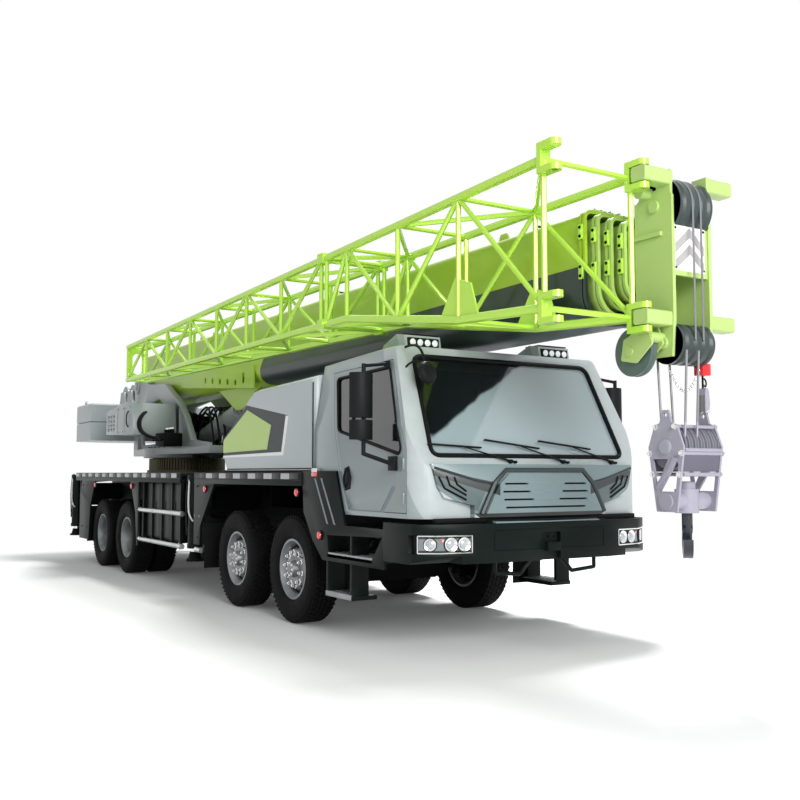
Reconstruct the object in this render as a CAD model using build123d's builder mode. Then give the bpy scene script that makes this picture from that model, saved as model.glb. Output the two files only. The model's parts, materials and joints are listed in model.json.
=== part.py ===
from build123d import *
import os
from math import atan2, cos, degrees, pi, radians, sin

# Four axle truck crane with a five section boom and a stowed lattice jib.
# X runs forward, Y to the crane's left, Z up. The origin is on the ground,
# under the middle of the whole crane. All sizes are in millimetres.
# Sizes that end in _x are distances ahead of the front axle unless they
# are worked out from front_axle_x.

# Whole machine
front_axle_x = 2537.0
wheelbase_front = 1450.0
wheelbase_middle = 4330.0
wheelbase_rear = 1350.0
body_width = 2550.0
gap = 8.0
overlap = 4.0

second_axle_x = front_axle_x - wheelbase_front
third_axle_x = second_axle_x - wheelbase_middle
fourth_axle_x = third_axle_x - wheelbase_rear
body_half = body_width / 2

# Wheels and axles
tyre_radius = 538.0
tyre_width = 315.0
tyre_crown = 240.0
tyre_shoulder = 20.0
rim_radius = 290.0
rim_lip = 12.0
rim_width = 250.0
rim_wall = 10.0
rim_well = 36.0
wheel_track = 2095.0
twin_spacing = 350.0
disc_thickness = 14.0
hub_radius = 120.0
hub_cap_radius = 88.0
hand_hole_radius = 26.0
hand_hole_ring = 222.0
hand_hole_count = 10
spindle_radius = 45.0
running_gap = 0.3
kingpin_inset = 190.0
kingpin_radius = 25.0
knuckle_boss = 60.0
knuckle_reach = 150.0
spring_half = 560.0
spring_width = 80.0
differential_radius = 235.0
axle_tube_radius = 85.0
axle_height = tyre_radius

# Chassis frame
rail_half = 430.0
rail_thickness = 12.0
rail_flange = 80.0
frame_front_x = front_axle_x + 1950.0
frame_rear_x = fourth_axle_x - 2210.0
box_front_x = second_axle_x - 1000.0
frame_bottom = 900.0
frame_top = 1380.0
rail_bottom = 850.0
rail_top = 1090.0
tail_board_half = 900.0

# Deck with its side skirts, lockers and side rails
deck_top = 1505.0
deck_plate = 50.0
skirt_bottom = 1375.0
skirt_thickness = 30.0
deck_rear_x = fourth_axle_x - 1430.0
deck_front_x = front_axle_x + 410.0
panel_bottom = 400.0
locker_bottom = 600.0
locker_depth = 330.0
locker_inset = 90.0
locker_ribs = 4
side_rail_radius = 30.0
side_rail_low = 565.0
side_rail_high = 980.0

# Outriggers
outrigger_front_x = front_axle_x - 2860.0
outrigger_rear_x = fourth_axle_x - 1800.0
outrigger_box_width = 500.0
outrigger_box_height = 290.0
outrigger_box_z = 1180.0
outrigger_box_half = 985.0
beam_width = 180.0
beam_height = 230.0
beam_stub = 60.0
jack_radius = 95.0
jack_wall = 31.0
jack_length = 900.0
jack_rod_radius = 62.0
jack_y = 1150.0
jack_bottom = 560.0
float_radius = 118.0
float_foot = 90.0
float_bottom = 400.0

# Cab
cab_rear_x = front_axle_x + 630.0
cab_roof_front_x = front_axle_x + 1920.0
cab_sill_x = front_axle_x + 2390.0
cab_front_x = front_axle_x + 2430.0
cab_floor = 1130.0
cab_sill = 1600.0
cab_roof_rear = 2530.0
cab_roof = 2600.0
cab_shoulder = 1900.0
cab_half = 1240.0
cab_roof_half = 1130.0
cab_corner = 190.0
cab_roof_corner = 60.0
cab_wall = 45.0
pane_inset = 12.0
glass_thickness = 6.0
door_gap = 6.0
door_hinge_x = front_axle_x + 2230.0
door_hinge_y = 1245.0
windscreen_corner = 70.0
mirror_reach = 200.0
mirror_width = 220.0
mirror_depth = 80.0
mirror_arm_radius = 18.0
roof_lamp_y = 760.0

# Front of the cab and the bumper
nose_x = front_axle_x + 2600.0
bumper_bottom = 770.0
bumper_top = 1090.0
bumper_tail_x = front_axle_x + 1955.0
lamp_height = 150.0
lamp_middle = 930.0
lamp_recess = 35.0
tow_bore_radius = 26.0
tow_plate_z = 885.0
grille_x = front_axle_x + 2530.0
grille_depth = 22.0
slot_height = 16.0
slot_pitch = 66.0
lower_panel_bottom = 695.0

# Engine hood
hood_rear_x = front_axle_x - 1730.0
hood_front_x = front_axle_x + 590.0
hood_top = 2430.0
hood_bottom = 1530.0
hood_wall = 30.0
hood_half = 1245.0
hood_chamfer = 70.0
hood_recess = 8.0

# Slewing ring and turntable
slew_x = third_axle_x - wheelbase_rear / 2
ring_radius = 610.0
ring_tooth = 18.0
ring_teeth = 80
ring_bottom = deck_top
ring_top = 1735.0
ring_bore = 480.0
table_radius = 700.0
table_bottom = ring_top + 10.0
table_top = 1900.0
table_nose_x = front_axle_x - 4260.0
cheek_inner = 415.0
cheek_thickness = 40.0
cheek_flange = 55.0
foot_x = front_axle_x - 7750.0
foot_z = 3000.0
foot_pin_radius = 60.0
foot_boss_radius = 130.0
housing_front_x = front_axle_x - 5560.0
housing_rear_x = front_axle_x - 6990.0
housing_outer = 1190.0
grille_rows = 4
grille_columns = 3
counterweight_rear_x = front_axle_x - 9180.0
counterweight_front_x = front_axle_x - 7950.0
counterweight_bottom = 2060.0
counterweight_top = 2700.0
counterweight_half = 1200.0
counterweight_corner = 220.0
winch_drum_radius = 135.0
winch_flange_radius = 190.0
winch_half = 330.0

# Operator's cab
operator_rear_x = slew_x + 480.0
operator_length = 1570.0
operator_outer = 1230.0
operator_floor = 1640.0
operator_roof = 3150.0
operator_wall = 35.0
operator_corner = 60.0

# Luffing cylinder
luff_foot_x = front_axle_x - 6600.0
luff_foot_z = 1850.0
luff_eye_x = front_axle_x - 3700.0
luff_eye_z = 2520.0
barrel_radius = 135.0
barrel_length = 2500.0
luff_rod_radius = 95.0
luff_pin_radius = 50.0
luff_eye_half = 80.0

# Boom
boom_half = 360.0
boom_bottom = 2665.0
boom_top = 3520.0
boom_wall = 12.0
boom_step_y = 40.0
boom_step_z = 44.0
boom_upper_corner = 55.0
boom_belly = 0.62
boom_rear_x = foot_x - 280.0
boom_end_x = front_axle_x + 3470.0
collar_pitch = 100.0
collar_width = 62.0
collar_thickness = 16.0
section_count = 5
section_start = 60.0
head_rear_x = boom_end_x + 4 * collar_pitch - 60.0
head_front_x = front_axle_x + 4190.0
head_half = 205.0
head_plate = 30.0
head_sheave_x = front_axle_x + 4030.0
head_sheave_z = 3440.0
head_sheave_radius = 215.0
sheave_count = 4
sheave_groove = 16.0
sheave_axle = 45.0
hook_axis_x = front_axle_x + 4090.0
hook_axis_z = 2430.0
lower_sheave_radius = 150.0
side_sheave_x = front_axle_x + 3900.0
side_sheave_z = 2380.0
side_sheave_radius = 180.0
holed_plate_rear_x = front_axle_x - 5740.0
holed_plate_front_x = front_axle_x - 2890.0
hole_count = 5

# Lattice jib
jib_pin_x = front_axle_x + 4120.0
jib_pin_y = 410.0
jib_tail_x = front_axle_x - 5700.0
jib_joint_x = front_axle_x + 770.0
jib_crest_x = front_axle_x + 1230.0
jib_knee_x = front_axle_x + 3000.0
jib_tail_inner = 950.0
jib_bays = 7
jib_chord_radius = 36.0
jib_brace_radius = 21.0
jib_pin_radius = 22.0
jib_top_z = 3630.0
jib_bottom_z = 2600.0
jib_crest_z = 3560.0
jib_tail_top = 3410.0
jib_tail_bottom = 2910.0
jib_knee_z = 2660.0
jib_fork_gap = 85.0
jib_fork_plate = 22.0
jib_lug_rear = 74.0
jib_lug_front = 60.0
jib_lug_half = 55.0
jib_flange = 55.0
jib_joint_gap = 1.0

# Hook block
block_top_z = 1950.0
block_bottom_z = 1225.0
block_width = 330.0
block_plate = 18.0
block_half = 205.0
block_axle_z = 1685.0
block_sheave_radius = 158.0
block_sheaves = 6
rope_radius = 9.0
hook_bottom_z = 890.0
hook_bowl = 120.0
hook_throat = 58.0
hook_throat_shift = 9.0
hook_turn = -45.0
hook_half = 34.0
hook_shank = 38.0

sides = {"right": -1, "left": 1}


# Shapes that the pieces share
def block(x_one, x_two, y_one, y_two, z_one, z_two, mode=Mode.ADD):
    """A plain box between two corners."""
    with Locations(((x_one + x_two) / 2, (y_one + y_two) / 2, (z_one + z_two) / 2)):
        Box(abs(x_two - x_one), abs(y_two - y_one), abs(z_two - z_one), mode=mode)


def outlined(plane, outline, amount, mode, corner, grow):
    """An outline on a plane, with rounded corners or grown all round, and carried along."""
    with BuildSketch(plane) as face:
        with BuildLine():
            Polyline(*outline, close=True)
        make_face()
        if grow:
            offset(amount=grow, kind=Kind.INTERSECTION)
        if corner:
            fillet(face.vertices(), corner)
    extrude(face.sketch, amount=amount, mode=mode)


def side_plate(outline, y_one, y_two, mode=Mode.ADD, corner=0.0, grow=0.0):
    """An outline in X and Z, carried from one Y to another."""
    y_low, y_high = sorted((y_one, y_two))
    outlined(Plane.XZ.offset(-y_high), outline, y_high - y_low, mode, corner, grow)


def cross_plate(outline, x_one, x_two, mode=Mode.ADD, corner=0.0, grow=0.0):
    """An outline in Y and Z, carried from one X to another."""
    x_low, x_high = sorted((x_one, x_two))
    outlined(Plane.YZ.offset(x_low), outline, x_high - x_low, mode, corner, grow)


def level_plate(outline, z_low, z_high, mode=Mode.ADD, corner=0.0):
    """An outline in X and Y, carried from one height to another."""
    outlined(Plane.XY.offset(z_low), outline, z_high - z_low, mode, corner, 0.0)


def bar(start, end, radius, mode=Mode.ADD):
    """A round bar from one point to another."""
    along = Vector(*end) - Vector(*start)
    with BuildSketch(Plane(origin=start, z_dir=along)) as face:
        Circle(radius)
    extrude(face.sketch, amount=along.length, mode=mode)


def bars(runs, radius, side_count):
    """Many sided bars of one radius, all joined in one step."""
    pieces = []
    for start, end in runs:
        along = Vector(*end) - Vector(*start)
        with BuildSketch(Plane(origin=start, z_dir=along)) as face:
            RegularPolygon(radius, side_count)
        pieces.append(extrude(face.sketch, amount=along.length, mode=Mode.PRIVATE))
    add(pieces)


def rod_y(x, z, radius, y_one, y_two, mode=Mode.ADD):
    """A round bar along Y."""
    y_low, y_high = sorted((y_one, y_two))
    bar((x, y_low, z), (x, y_high, z), radius, mode=mode)


def rod_z(x, y, radius, z_low, z_high, mode=Mode.ADD):
    """An upright round bar."""
    bar((x, y, z_low), (x, y, z_high), radius, mode=mode)


def turned(x, y, z, outline, mode=Mode.ADD):
    """A form turned about a line along Y, from points of (offset along Y, radius)."""
    with BuildSketch(Plane(origin=(x, y, z), x_dir=(0, 1, 0), z_dir=(1, 0, 0))) as face:
        with BuildLine():
            Polyline(*outline, close=True)
        make_face()
    revolve(face.sketch, axis=Axis((x, y, z), (0, 1, 0)), mode=mode)


def sheaves(x, z, radius, count, half):
    """A stack of grooved rope sheaves between two faces, on one boss."""
    pitch = 2 * half / count
    outline = [(-half, 0), (-half, radius)]
    for number in range(count):
        middle = -half + pitch * (number + 0.5)
        outline += [
            (middle - pitch * 0.22, radius),
            (middle, radius - sheave_groove),
            (middle + pitch * 0.22, radius),
        ]
    outline += [(half, radius), (half, 0)]
    turned(x, 0, z, outline)


def both_sides():
    """Repeat what has been made so far on the other side of the middle."""
    mirror(about=Plane.XZ)


def save(shape, label):
    """Label a finished piece and write it."""
    shape.label = label
    export_step(shape, f"parts/{label}.step")


def save_pair(shape, label):
    """Write a right hand piece and its mirror image."""
    save(shape, f"{label}_right")
    save(mirror(shape, about=Plane.XZ), f"{label}_left")


os.makedirs("parts", exist_ok=True)

# Chassis frame: a closed box behind the second axle, two rails ahead of it
with BuildPart() as chassis_frame:
    block(frame_rear_x, box_front_x, -rail_half, rail_half, frame_bottom, frame_top)
    block(
        frame_rear_x - overlap,
        box_front_x - rail_thickness,
        -rail_half + rail_thickness,
        rail_half - rail_thickness,
        frame_bottom + rail_thickness,
        frame_top - rail_thickness,
        Mode.SUBTRACT,
    )
    rail_inner = rail_half - rail_flange
    for side in (-1, 1):
        block(box_front_x, frame_front_x, side * rail_inner, side * rail_half, rail_bottom, rail_top)
        side_plate(
            [
                (box_front_x - overlap, frame_bottom),
                (box_front_x + 300, rail_top - 50),
                (box_front_x + 300, rail_top),
                (box_front_x + 60, frame_top),
                (box_front_x - overlap, frame_top),
            ],
            side * rail_inner,
            side * rail_half,
        )
        # Rests of the front deck and of the cab
        for rest_x in (second_axle_x - 750, second_axle_x + 725, front_axle_x + 350):
            block(
                rest_x - 40,
                rest_x + 40,
                side * rail_inner,
                side * (rail_half - overlap),
                rail_top - 10,
                deck_top - deck_plate,
            )
        for mount_x in (cab_rear_x + 90, front_axle_x + 1850):
            rod_z(mount_x, side * (rail_half - 40), 38, rail_top - 10, cab_floor)
        rod_z(second_axle_x + 450, side * (rail_half - 45), 34, rail_top - 10, rail_top + 20)
        # Tail lamp board arms
        block(
            frame_rear_x,
            frame_rear_x + 160,
            side * (rail_half - rail_thickness),
            side * tail_board_half,
            frame_bottom + 20,
            frame_bottom + 100,
        )
    for member_x in (second_axle_x - 600, second_axle_x + 700, front_axle_x + 600, frame_front_x - 100):
        with BuildSketch(Plane.XZ.offset(-rail_inner - overlap)) as channel:
            with Locations((member_x, (rail_bottom + rail_top) / 2)):
                Rectangle(120, 160)
                with Locations((20, 0)):
                    Rectangle(100, 120, mode=Mode.SUBTRACT)
        extrude(channel.sketch, amount=2 * (rail_inner + overlap))
    # Seat of the slewing ring, up to the deck, with its gussets
    rod_z(slew_x, 0, ring_radius + 40, frame_top - overlap, ring_bottom - gap)
    rod_z(slew_x, 0, ring_bore - 60, frame_top - 40, deck_top, Mode.SUBTRACT)
    for gusset_x in (slew_x - 400, slew_x, slew_x + 400):
        cross_plate(
            [
                (-ring_radius + 160, frame_top + 10),
                (ring_radius - 160, frame_top + 10),
                (rail_half - overlap, frame_top - 250),
                (-rail_half + overlap, frame_top - 250),
            ],
            gusset_x - 10,
            gusset_x + 10,
        )
    # Crosswise boxes of the outriggers, each with two channels
    for box_x in (outrigger_front_x, outrigger_rear_x):
        block(
            box_x - outrigger_box_width / 2,
            box_x + outrigger_box_width / 2,
            -outrigger_box_half,
            outrigger_box_half,
            outrigger_box_z - outrigger_box_height / 2,
            outrigger_box_z + outrigger_box_height / 2,
        )
    for box_x in (outrigger_front_x, outrigger_rear_x):
        for channel_side in (-1, 1):
            middle_x = box_x + channel_side * outrigger_box_width / 4
            block(
                middle_x - beam_width / 2 - gap,
                middle_x + beam_width / 2 + gap,
                -outrigger_box_half - overlap,
                outrigger_box_half + overlap,
                outrigger_box_z - beam_height / 2 - gap,
                outrigger_box_z + beam_height / 2 + gap,
                Mode.SUBTRACT,
            )
save(chassis_frame.part, "chassis_frame")

# Deck plate, its edge channels, the wheel arches' panels and the side lockers
jack_low_x = outrigger_front_x - outrigger_box_width / 2
jack_high_x = outrigger_front_x + outrigger_box_width / 2
with BuildPart() as deck:
    block(deck_rear_x, deck_front_x, -body_half, 0, deck_top - deck_plate, deck_top)
    outer = -body_half
    block(deck_rear_x, deck_front_x, outer, outer + skirt_thickness, skirt_bottom, deck_top - overlap)
    # Panels between the wheel arches, from the back to the front
    rear_panel = [
        (front_axle_x - 8250, panel_bottom),
        (front_axle_x - 7646, panel_bottom),
        (front_axle_x - 7570, 971),
        (front_axle_x - 7282, skirt_bottom + overlap),
        (front_axle_x - 8140, skirt_bottom + overlap),
        (front_axle_x - 8256, 1124),
    ]
    front_panel_outline = [
        (jack_high_x + gap, 632),
        (front_axle_x - 2398, 632),
        (front_axle_x - 2374, 874),
        (front_axle_x - 1930, skirt_bottom + overlap),
        (jack_high_x + gap, skirt_bottom + overlap),
    ]
    narrow_panel = [
        (front_axle_x - 4958, 473),
        (front_axle_x - 4900, 473),
        (front_axle_x - 4900, skirt_bottom + overlap),
        (front_axle_x - 5300, skirt_bottom + overlap),
        (front_axle_x - 5038, 941),
    ]
    for outline in (rear_panel, narrow_panel, front_panel_outline):
        side_plate(outline, outer + 3, outer + skirt_thickness)
    # Rear wall of the deck, round the outrigger's box
    cross_plate(
        [
            (-body_half + 3, 760),
            (-body_half + 130, 760),
            (-body_half + 130, skirt_bottom - 40),
            (-rail_half - 20, frame_top + 5),
            (0, frame_top + 5),
            (0, deck_top - overlap),
            (-body_half + 3, deck_top - overlap),
        ],
        front_axle_x - 8250,
        front_axle_x - 8220,
    )
    # Locker with upright ribs, hung from the deck behind the side rails
    locker_outer = outer + locker_inset
    locker_low_x = third_axle_x + 900
    locker_high_x = jack_low_x - 90
    block(locker_low_x, locker_high_x, locker_outer, outer + locker_depth, locker_bottom, skirt_bottom)
    locker_top = deck_top - deck_plate + overlap
    block(locker_low_x, locker_high_x, locker_outer, outer + locker_depth, skirt_bottom - 10, locker_top)
    rib_pitch = (locker_high_x - locker_low_x) / locker_ribs
    for number in range(locker_ribs + 1):
        rib_x = locker_low_x + rib_pitch * number
        rib_outer = locker_outer - 28
        block(rib_x - 20, rib_x + 20, rib_outer, locker_outer + overlap, locker_bottom, skirt_bottom + 40)
    # Side rails on their posts
    for rail_z in (side_rail_low, side_rail_high):
        bar(
            (front_axle_x - 4920, outer + side_rail_radius + 6, rail_z),
            (jack_low_x - gap, outer + side_rail_radius + 6, rail_z),
            side_rail_radius,
        )
    for post_x in (third_axle_x + 1000, jack_low_x - 110):
        block(post_x - 18, post_x + 18, outer + 40, outer + 75, side_rail_low - 40, skirt_bottom + 50)
    # Notch for the front outrigger's jack, and the fenders over the front wheels
    block(
        jack_low_x - gap,
        jack_high_x + gap,
        outer - overlap,
        -outrigger_box_half + 20,
        skirt_bottom - 60,
        deck_top + overlap,
        Mode.SUBTRACT,
    )
    both_sides()
    rod_z(slew_x, 0, ring_radius + 40 + gap, deck_top - 200, deck_top + overlap, Mode.SUBTRACT)
    block(
        second_axle_x + 100,
        deck_front_x - 60,
        -body_half + 380,
        body_half - 380,
        deck_top - 100,
        deck_top + overlap,
        Mode.SUBTRACT,
    )
save(deck.part, "deck")

# Slewing ring with teeth all round its outside
tooth_turn = 360 / ring_teeth
with BuildPart() as slewing_ring:
    with BuildSketch(Plane.XY.offset(ring_bottom - gap)) as teeth:
        with BuildLine():
            corners = []
            for number in range(ring_teeth):
                for share, height in ((0.05, 0), (0.25, 1), (0.55, 1), (0.75, 0)):
                    turn = (number + share) * tooth_turn * pi / 180
                    reach = ring_radius - ring_tooth * (1 - height)
                    corners.append((slew_x + reach * cos(turn), reach * sin(turn)))
            Polyline(*corners, close=True)
        make_face()
        with Locations((slew_x, 0)):
            Circle(ring_bore, mode=Mode.SUBTRACT)
    extrude(teeth.sketch, amount=ring_top - ring_bottom + gap)
    # Plain seat below the teeth and the upper race
    rod_z(slew_x, 0, ring_radius + 30, ring_bottom - gap, ring_bottom + 45)
    rod_z(slew_x, 0, ring_radius - 60, ring_top - 45, ring_top + 9)
    rod_z(slew_x, 0, ring_bore, ring_bottom - 20, ring_top + 20, Mode.SUBTRACT)
save(slewing_ring.part, "slewing_ring")

# Engine hood over the second axle, open below and in front
hood_outline = [
    (hood_front_x, hood_bottom),
    (front_axle_x - 1590, hood_bottom),
    (front_axle_x - 1720, 1710),
    (hood_rear_x, 1885),
    (front_axle_x - 1060, 2300),
    (front_axle_x - 850, hood_top - 20),
    (hood_front_x, hood_top + 20),
]
hood_band = [
    (front_axle_x - 1722, 1700),
    (front_axle_x - 98, 1705),
    (front_axle_x + 14, 2087),
    (front_axle_x - 1060, 2250),
    (front_axle_x - 1727, 1900),
]
hood_flash = [
    (front_axle_x - 1722, 1735),
    (front_axle_x - 500, 1750),
    (front_axle_x - 402, 2004),
    (front_axle_x - 1030, 2195),
    (front_axle_x - 1727, 1875),
]
with BuildPart() as engine_hood:
    side_plate(hood_outline, -hood_half, hood_half)
    long_edges = engine_hood.edges().filter_by(Axis.Y, reverse=True)
    top_edges = long_edges.filter_by(lambda edge: edge.center().Z > 1900 and abs(edge.center().Y) > 100)
    chamfer(top_edges.filter_by(lambda edge: edge.length > 150), hood_chamfer, hood_chamfer / 2)
    side_plate(
        hood_outline,
        -hood_half + hood_wall + hood_recess,
        hood_half - hood_wall - hood_recess,
        Mode.SUBTRACT,
        grow=-hood_wall,
    )
    block(
        hood_front_x - hood_wall - overlap,
        hood_front_x + overlap,
        -hood_half + 3 * hood_wall,
        hood_half - 3 * hood_wall,
        hood_bottom + hood_wall,
        hood_top - 3 * hood_wall,
        Mode.SUBTRACT,
    )
    block(
        front_axle_x - 1540,
        hood_front_x - hood_wall,
        -hood_half + 3 * hood_wall,
        hood_half - 3 * hood_wall,
        hood_bottom - overlap,
        hood_bottom + hood_wall + overlap,
        Mode.SUBTRACT,
    )
    for side in (-1, 1):
        # Recessed band on each flank, with the flash standing in it
        side_plate(hood_band, side * (hood_half - hood_recess), side * (hood_half + overlap), Mode.SUBTRACT)
        side_plate(hood_flash, side * (hood_half - hood_recess - overlap), side * (hood_half - overlap / 2))
        for foot in (-1300, 300):
            block(
                front_axle_x + foot - 40,
                front_axle_x + foot + 40,
                side * (hood_half - 90),
                side * (hood_half - 30),
                deck_top,
                hood_bottom + 10,
            )
save(engine_hood.part, "engine_hood")

# Engine, a plain block on its mounts between the rails
with BuildPart() as engine:
    block(second_axle_x + 180, front_axle_x + 250, -300, 300, rail_top + 20, 2050)
    mount_half = rail_half - 10
    block(second_axle_x + 300, second_axle_x + 600, -mount_half, mount_half, rail_top + 20, rail_top + 80)
save(engine.part, "engine")


# Cab
def cab_form(inset):
    """The cab's outer form, brought in by an inset on every face."""
    with BuildPart() as form:
        side_plate(
            [
                (cab_rear_x + inset, cab_floor + inset),
                (cab_front_x - inset, cab_floor + inset),
                (cab_front_x - inset, cab_sill - 90),
                (cab_sill_x - inset * 1.1, cab_sill),
                (cab_roof_front_x - inset * 0.7, cab_roof - inset),
                (cab_rear_x + inset, cab_roof_rear - inset),
            ],
            -cab_half,
            cab_half,
        )
        half = cab_half - inset
        front = cab_front_x - inset
        rear = cab_rear_x + inset
        corner = cab_corner - inset
        with BuildSketch(Plane.XY.offset(cab_floor - 10)):
            with BuildLine():
                Line((rear, -half), (front - corner, -half))
                RadiusArc((front - corner, -half), (front, -half + corner), -corner)
                Line((front, -half + corner), (front, half - corner))
                RadiusArc((front, half - corner), (front - corner, half), -corner)
                Line((front - corner, half), (rear, half))
                Line((rear, half), (rear, -half))
            make_face()
        extrude(amount=cab_roof - cab_floor + 50, mode=Mode.INTERSECT)
        with BuildSketch(Plane.YZ.offset(cab_rear_x - 50)) as across:
            with BuildLine():
                roof_half = cab_roof_half - inset
                Polyline(
                    (-half, cab_floor - 20),
                    (half, cab_floor - 20),
                    (half, cab_shoulder),
                    (roof_half, cab_roof - inset),
                    (-roof_half, cab_roof - inset),
                    (-half, cab_shoulder),
                    close=True,
                )
            make_face()
            fillet(across.vertices().group_by(Axis.Y)[-1], cab_roof_corner - inset)
        extrude(across.sketch, amount=cab_front_x - cab_rear_x + 100, mode=Mode.INTERSECT)
    return form.part


door_outline = [
    (front_axle_x + 1292, cab_floor + cab_wall),
    (front_axle_x + 2262, cab_floor + cab_wall),
    (front_axle_x + 2262, 1700),
    (front_axle_x + 2155, 1950),
    (front_axle_x + 1910, 2470),
    (front_axle_x + 850, 2440),
    (front_axle_x + 1035, 1870),
    (front_axle_x + 1116, 1529),
]
door_window = [
    (front_axle_x + 1095, 1885),
    (front_axle_x + 2150, 1655),
    (front_axle_x + 2185, 1705),
    (front_axle_x + 2095, 1945),
    (front_axle_x + 1875, 2415),
    (front_axle_x + 935, 2385),
]
windscreen = [(-1060, cab_sill + 45), (1060, cab_sill + 45), (985, cab_roof - 90), (-985, cab_roof - 90)]

cab_outside = cab_form(0)
cab_inside = cab_form(cab_wall)
pane_outside = cab_form(pane_inset)
pane_inside = cab_form(pane_inset + glass_thickness)
side_band = cab_half - cab_corner

with BuildPart() as cab_shell:
    add(cab_outside)
    add(cab_inside, mode=Mode.SUBTRACT)
    cross_plate(
        windscreen, cab_roof_front_x - 200, cab_front_x + 50, Mode.SUBTRACT, corner=windscreen_corner
    )
    for side in (-1, 1):
        side_plate(door_outline, side * side_band, side * (cab_half + 10), Mode.SUBTRACT, grow=door_gap)
        # Roof lamp pod with its sloping nose
        side_plate(
            [
                (front_axle_x + 1330, cab_roof_rear + 10),
                (front_axle_x + 1800, cab_roof_rear + 30),
                (front_axle_x + 1770, cab_roof + 120),
                (front_axle_x + 1640, cab_roof + 140),
                (front_axle_x + 1420, cab_roof + 60),
            ],
            side * (roof_lamp_y - 190),
            side * (roof_lamp_y + 190),
        )
    # Gutter along the roof's rear edge and the lip over the windscreen
    gutter_half = cab_roof_half - 80
    block(cab_rear_x + 5, cab_rear_x + 45, -gutter_half, gutter_half, cab_roof_rear - 5, cab_roof_rear + 18)
save(cab_shell.part, "cab_shell")

with BuildPart() as cab_glass:
    add(pane_outside)
    add(pane_inside, mode=Mode.SUBTRACT)
    cross_plate(
        windscreen, cab_roof_front_x - 200, cab_front_x + 50, Mode.INTERSECT, corner=windscreen_corner
    )
save(cab_glass.part, "cab_glass")

with BuildPart() as door_right:
    add(cab_outside)
    add(cab_inside, mode=Mode.SUBTRACT)
    side_plate(door_outline, -side_band - 15, -cab_half - 10, Mode.INTERSECT)
    side_plate(door_window, -side_band, -cab_half - 10, Mode.SUBTRACT, corner=20)
    # Pressed relief and the handle's hollow in the skin
    side_plate(
        [
            (front_axle_x + 1200, 1140),
            (front_axle_x + 1880, 1140),
            (front_axle_x + 2110, 1390),
            (front_axle_x + 2040, 1390),
            (front_axle_x + 1850, 1180),
            (front_axle_x + 1215, 1180),
        ],
        -cab_half + 6,
        -cab_half - overlap,
        Mode.SUBTRACT,
    )
    side_plate(
        [
            (front_axle_x + 1225, 1340),
            (front_axle_x + 1330, 1360),
            (front_axle_x + 1300, 1560),
            (front_axle_x + 1215, 1540),
        ],
        -cab_half + 18,
        -cab_half - overlap,
        Mode.SUBTRACT,
    )
    # Barrels of the hinges
    for hinge_z in (1250, 1530):
        rod_z(door_hinge_x, -door_hinge_y, 11, hinge_z, hinge_z + 90)
save_pair(door_right.part, "door")

with BuildPart() as door_glass_right:
    add(pane_outside)
    add(pane_inside, mode=Mode.SUBTRACT)
    side_plate(door_window, -side_band, -cab_half - 10, Mode.INTERSECT, corner=20)
save_pair(door_glass_right.part, "door_glass")

# Mirror with two glasses on one arm, carried by a bracket on the door
mirror_x = front_axle_x + 1940.0
mirror_y = -cab_half - mirror_reach
with BuildPart() as mirror_right:
    for glass_low, glass_high in ((1965, 2345), (1780, 1945)):
        with BuildSketch(Plane.XY.offset(glass_low)) as housing:
            with BuildLine():
                back_x = mirror_x - mirror_depth
                Line((back_x, mirror_y - mirror_width / 2), (back_x, mirror_y + mirror_width / 2))
                ThreePointArc(
                    (back_x, mirror_y + mirror_width / 2),
                    (mirror_x + 12, mirror_y),
                    (back_x, mirror_y - mirror_width / 2),
                )
            make_face()
        extrude(housing.sketch, amount=glass_high - glass_low)
    bar((mirror_x - 30, mirror_y, 1650), (mirror_x - 30, mirror_y, 2420), mirror_arm_radius)
    bar((mirror_x - 30, mirror_y, 1662), (mirror_x + 140, -cab_half - 20, 1575), mirror_arm_radius)
    bar(
        (mirror_x - 28, mirror_y - 8, 2400),
        (mirror_x - 90, -cab_roof_half - 45, 2440),
        mirror_arm_radius - 3,
    )
    block(mirror_x + 90, mirror_x + 190, -cab_half, -cab_half - 35, 1520, 1640)
    block(mirror_x - 120, mirror_x - 60, -cab_roof_half - 31, -cab_roof_half - 60, 2405, 2465)
save_pair(mirror_right.part, "mirror")

# Seats, dashboard and steering wheel in the cab
seat_y = 620.0
with BuildPart() as cab_interior:
    side_plate(
        [
            (front_axle_x + 2060, 1430),
            (cab_front_x - cab_wall - 20, 1430),
            (cab_front_x - cab_wall - 20, 1490),
            (cab_sill_x - cab_wall - 60, 1590),
            (front_axle_x + 2060, 1610),
        ],
        -cab_half + cab_corner,
        cab_half - cab_corner,
    )
    for middle_y in (-seat_y, seat_y):
        side_plate(
            [
                (front_axle_x + 1130, cab_floor + cab_wall),
                (front_axle_x + 1560, cab_floor + cab_wall),
                (front_axle_x + 1660, 1480),
                (front_axle_x + 1640, 1580),
                (front_axle_x + 1180, 1560),
                (front_axle_x + 1080, 2150),
                (front_axle_x + 1050, 2340),
                (front_axle_x + 960, 2330),
                (front_axle_x + 1060, 1480),
            ],
            middle_y - 250,
            middle_y + 250,
        )
    bar((front_axle_x + 2100, seat_y, 1560), (front_axle_x + 1860, seat_y, 1760), 28)
    wheel_plane = Plane(origin=(front_axle_x + 1870, seat_y, 1750), z_dir=(-240, 0, 200))
    with BuildSketch(wheel_plane) as wheel_face:
        Circle(230)
        Circle(195, mode=Mode.SUBTRACT)
        Rectangle(410, 40)
        Circle(50)
    extrude(wheel_face.sketch, amount=26)
save(cab_interior.part, "cab_interior")

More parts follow.
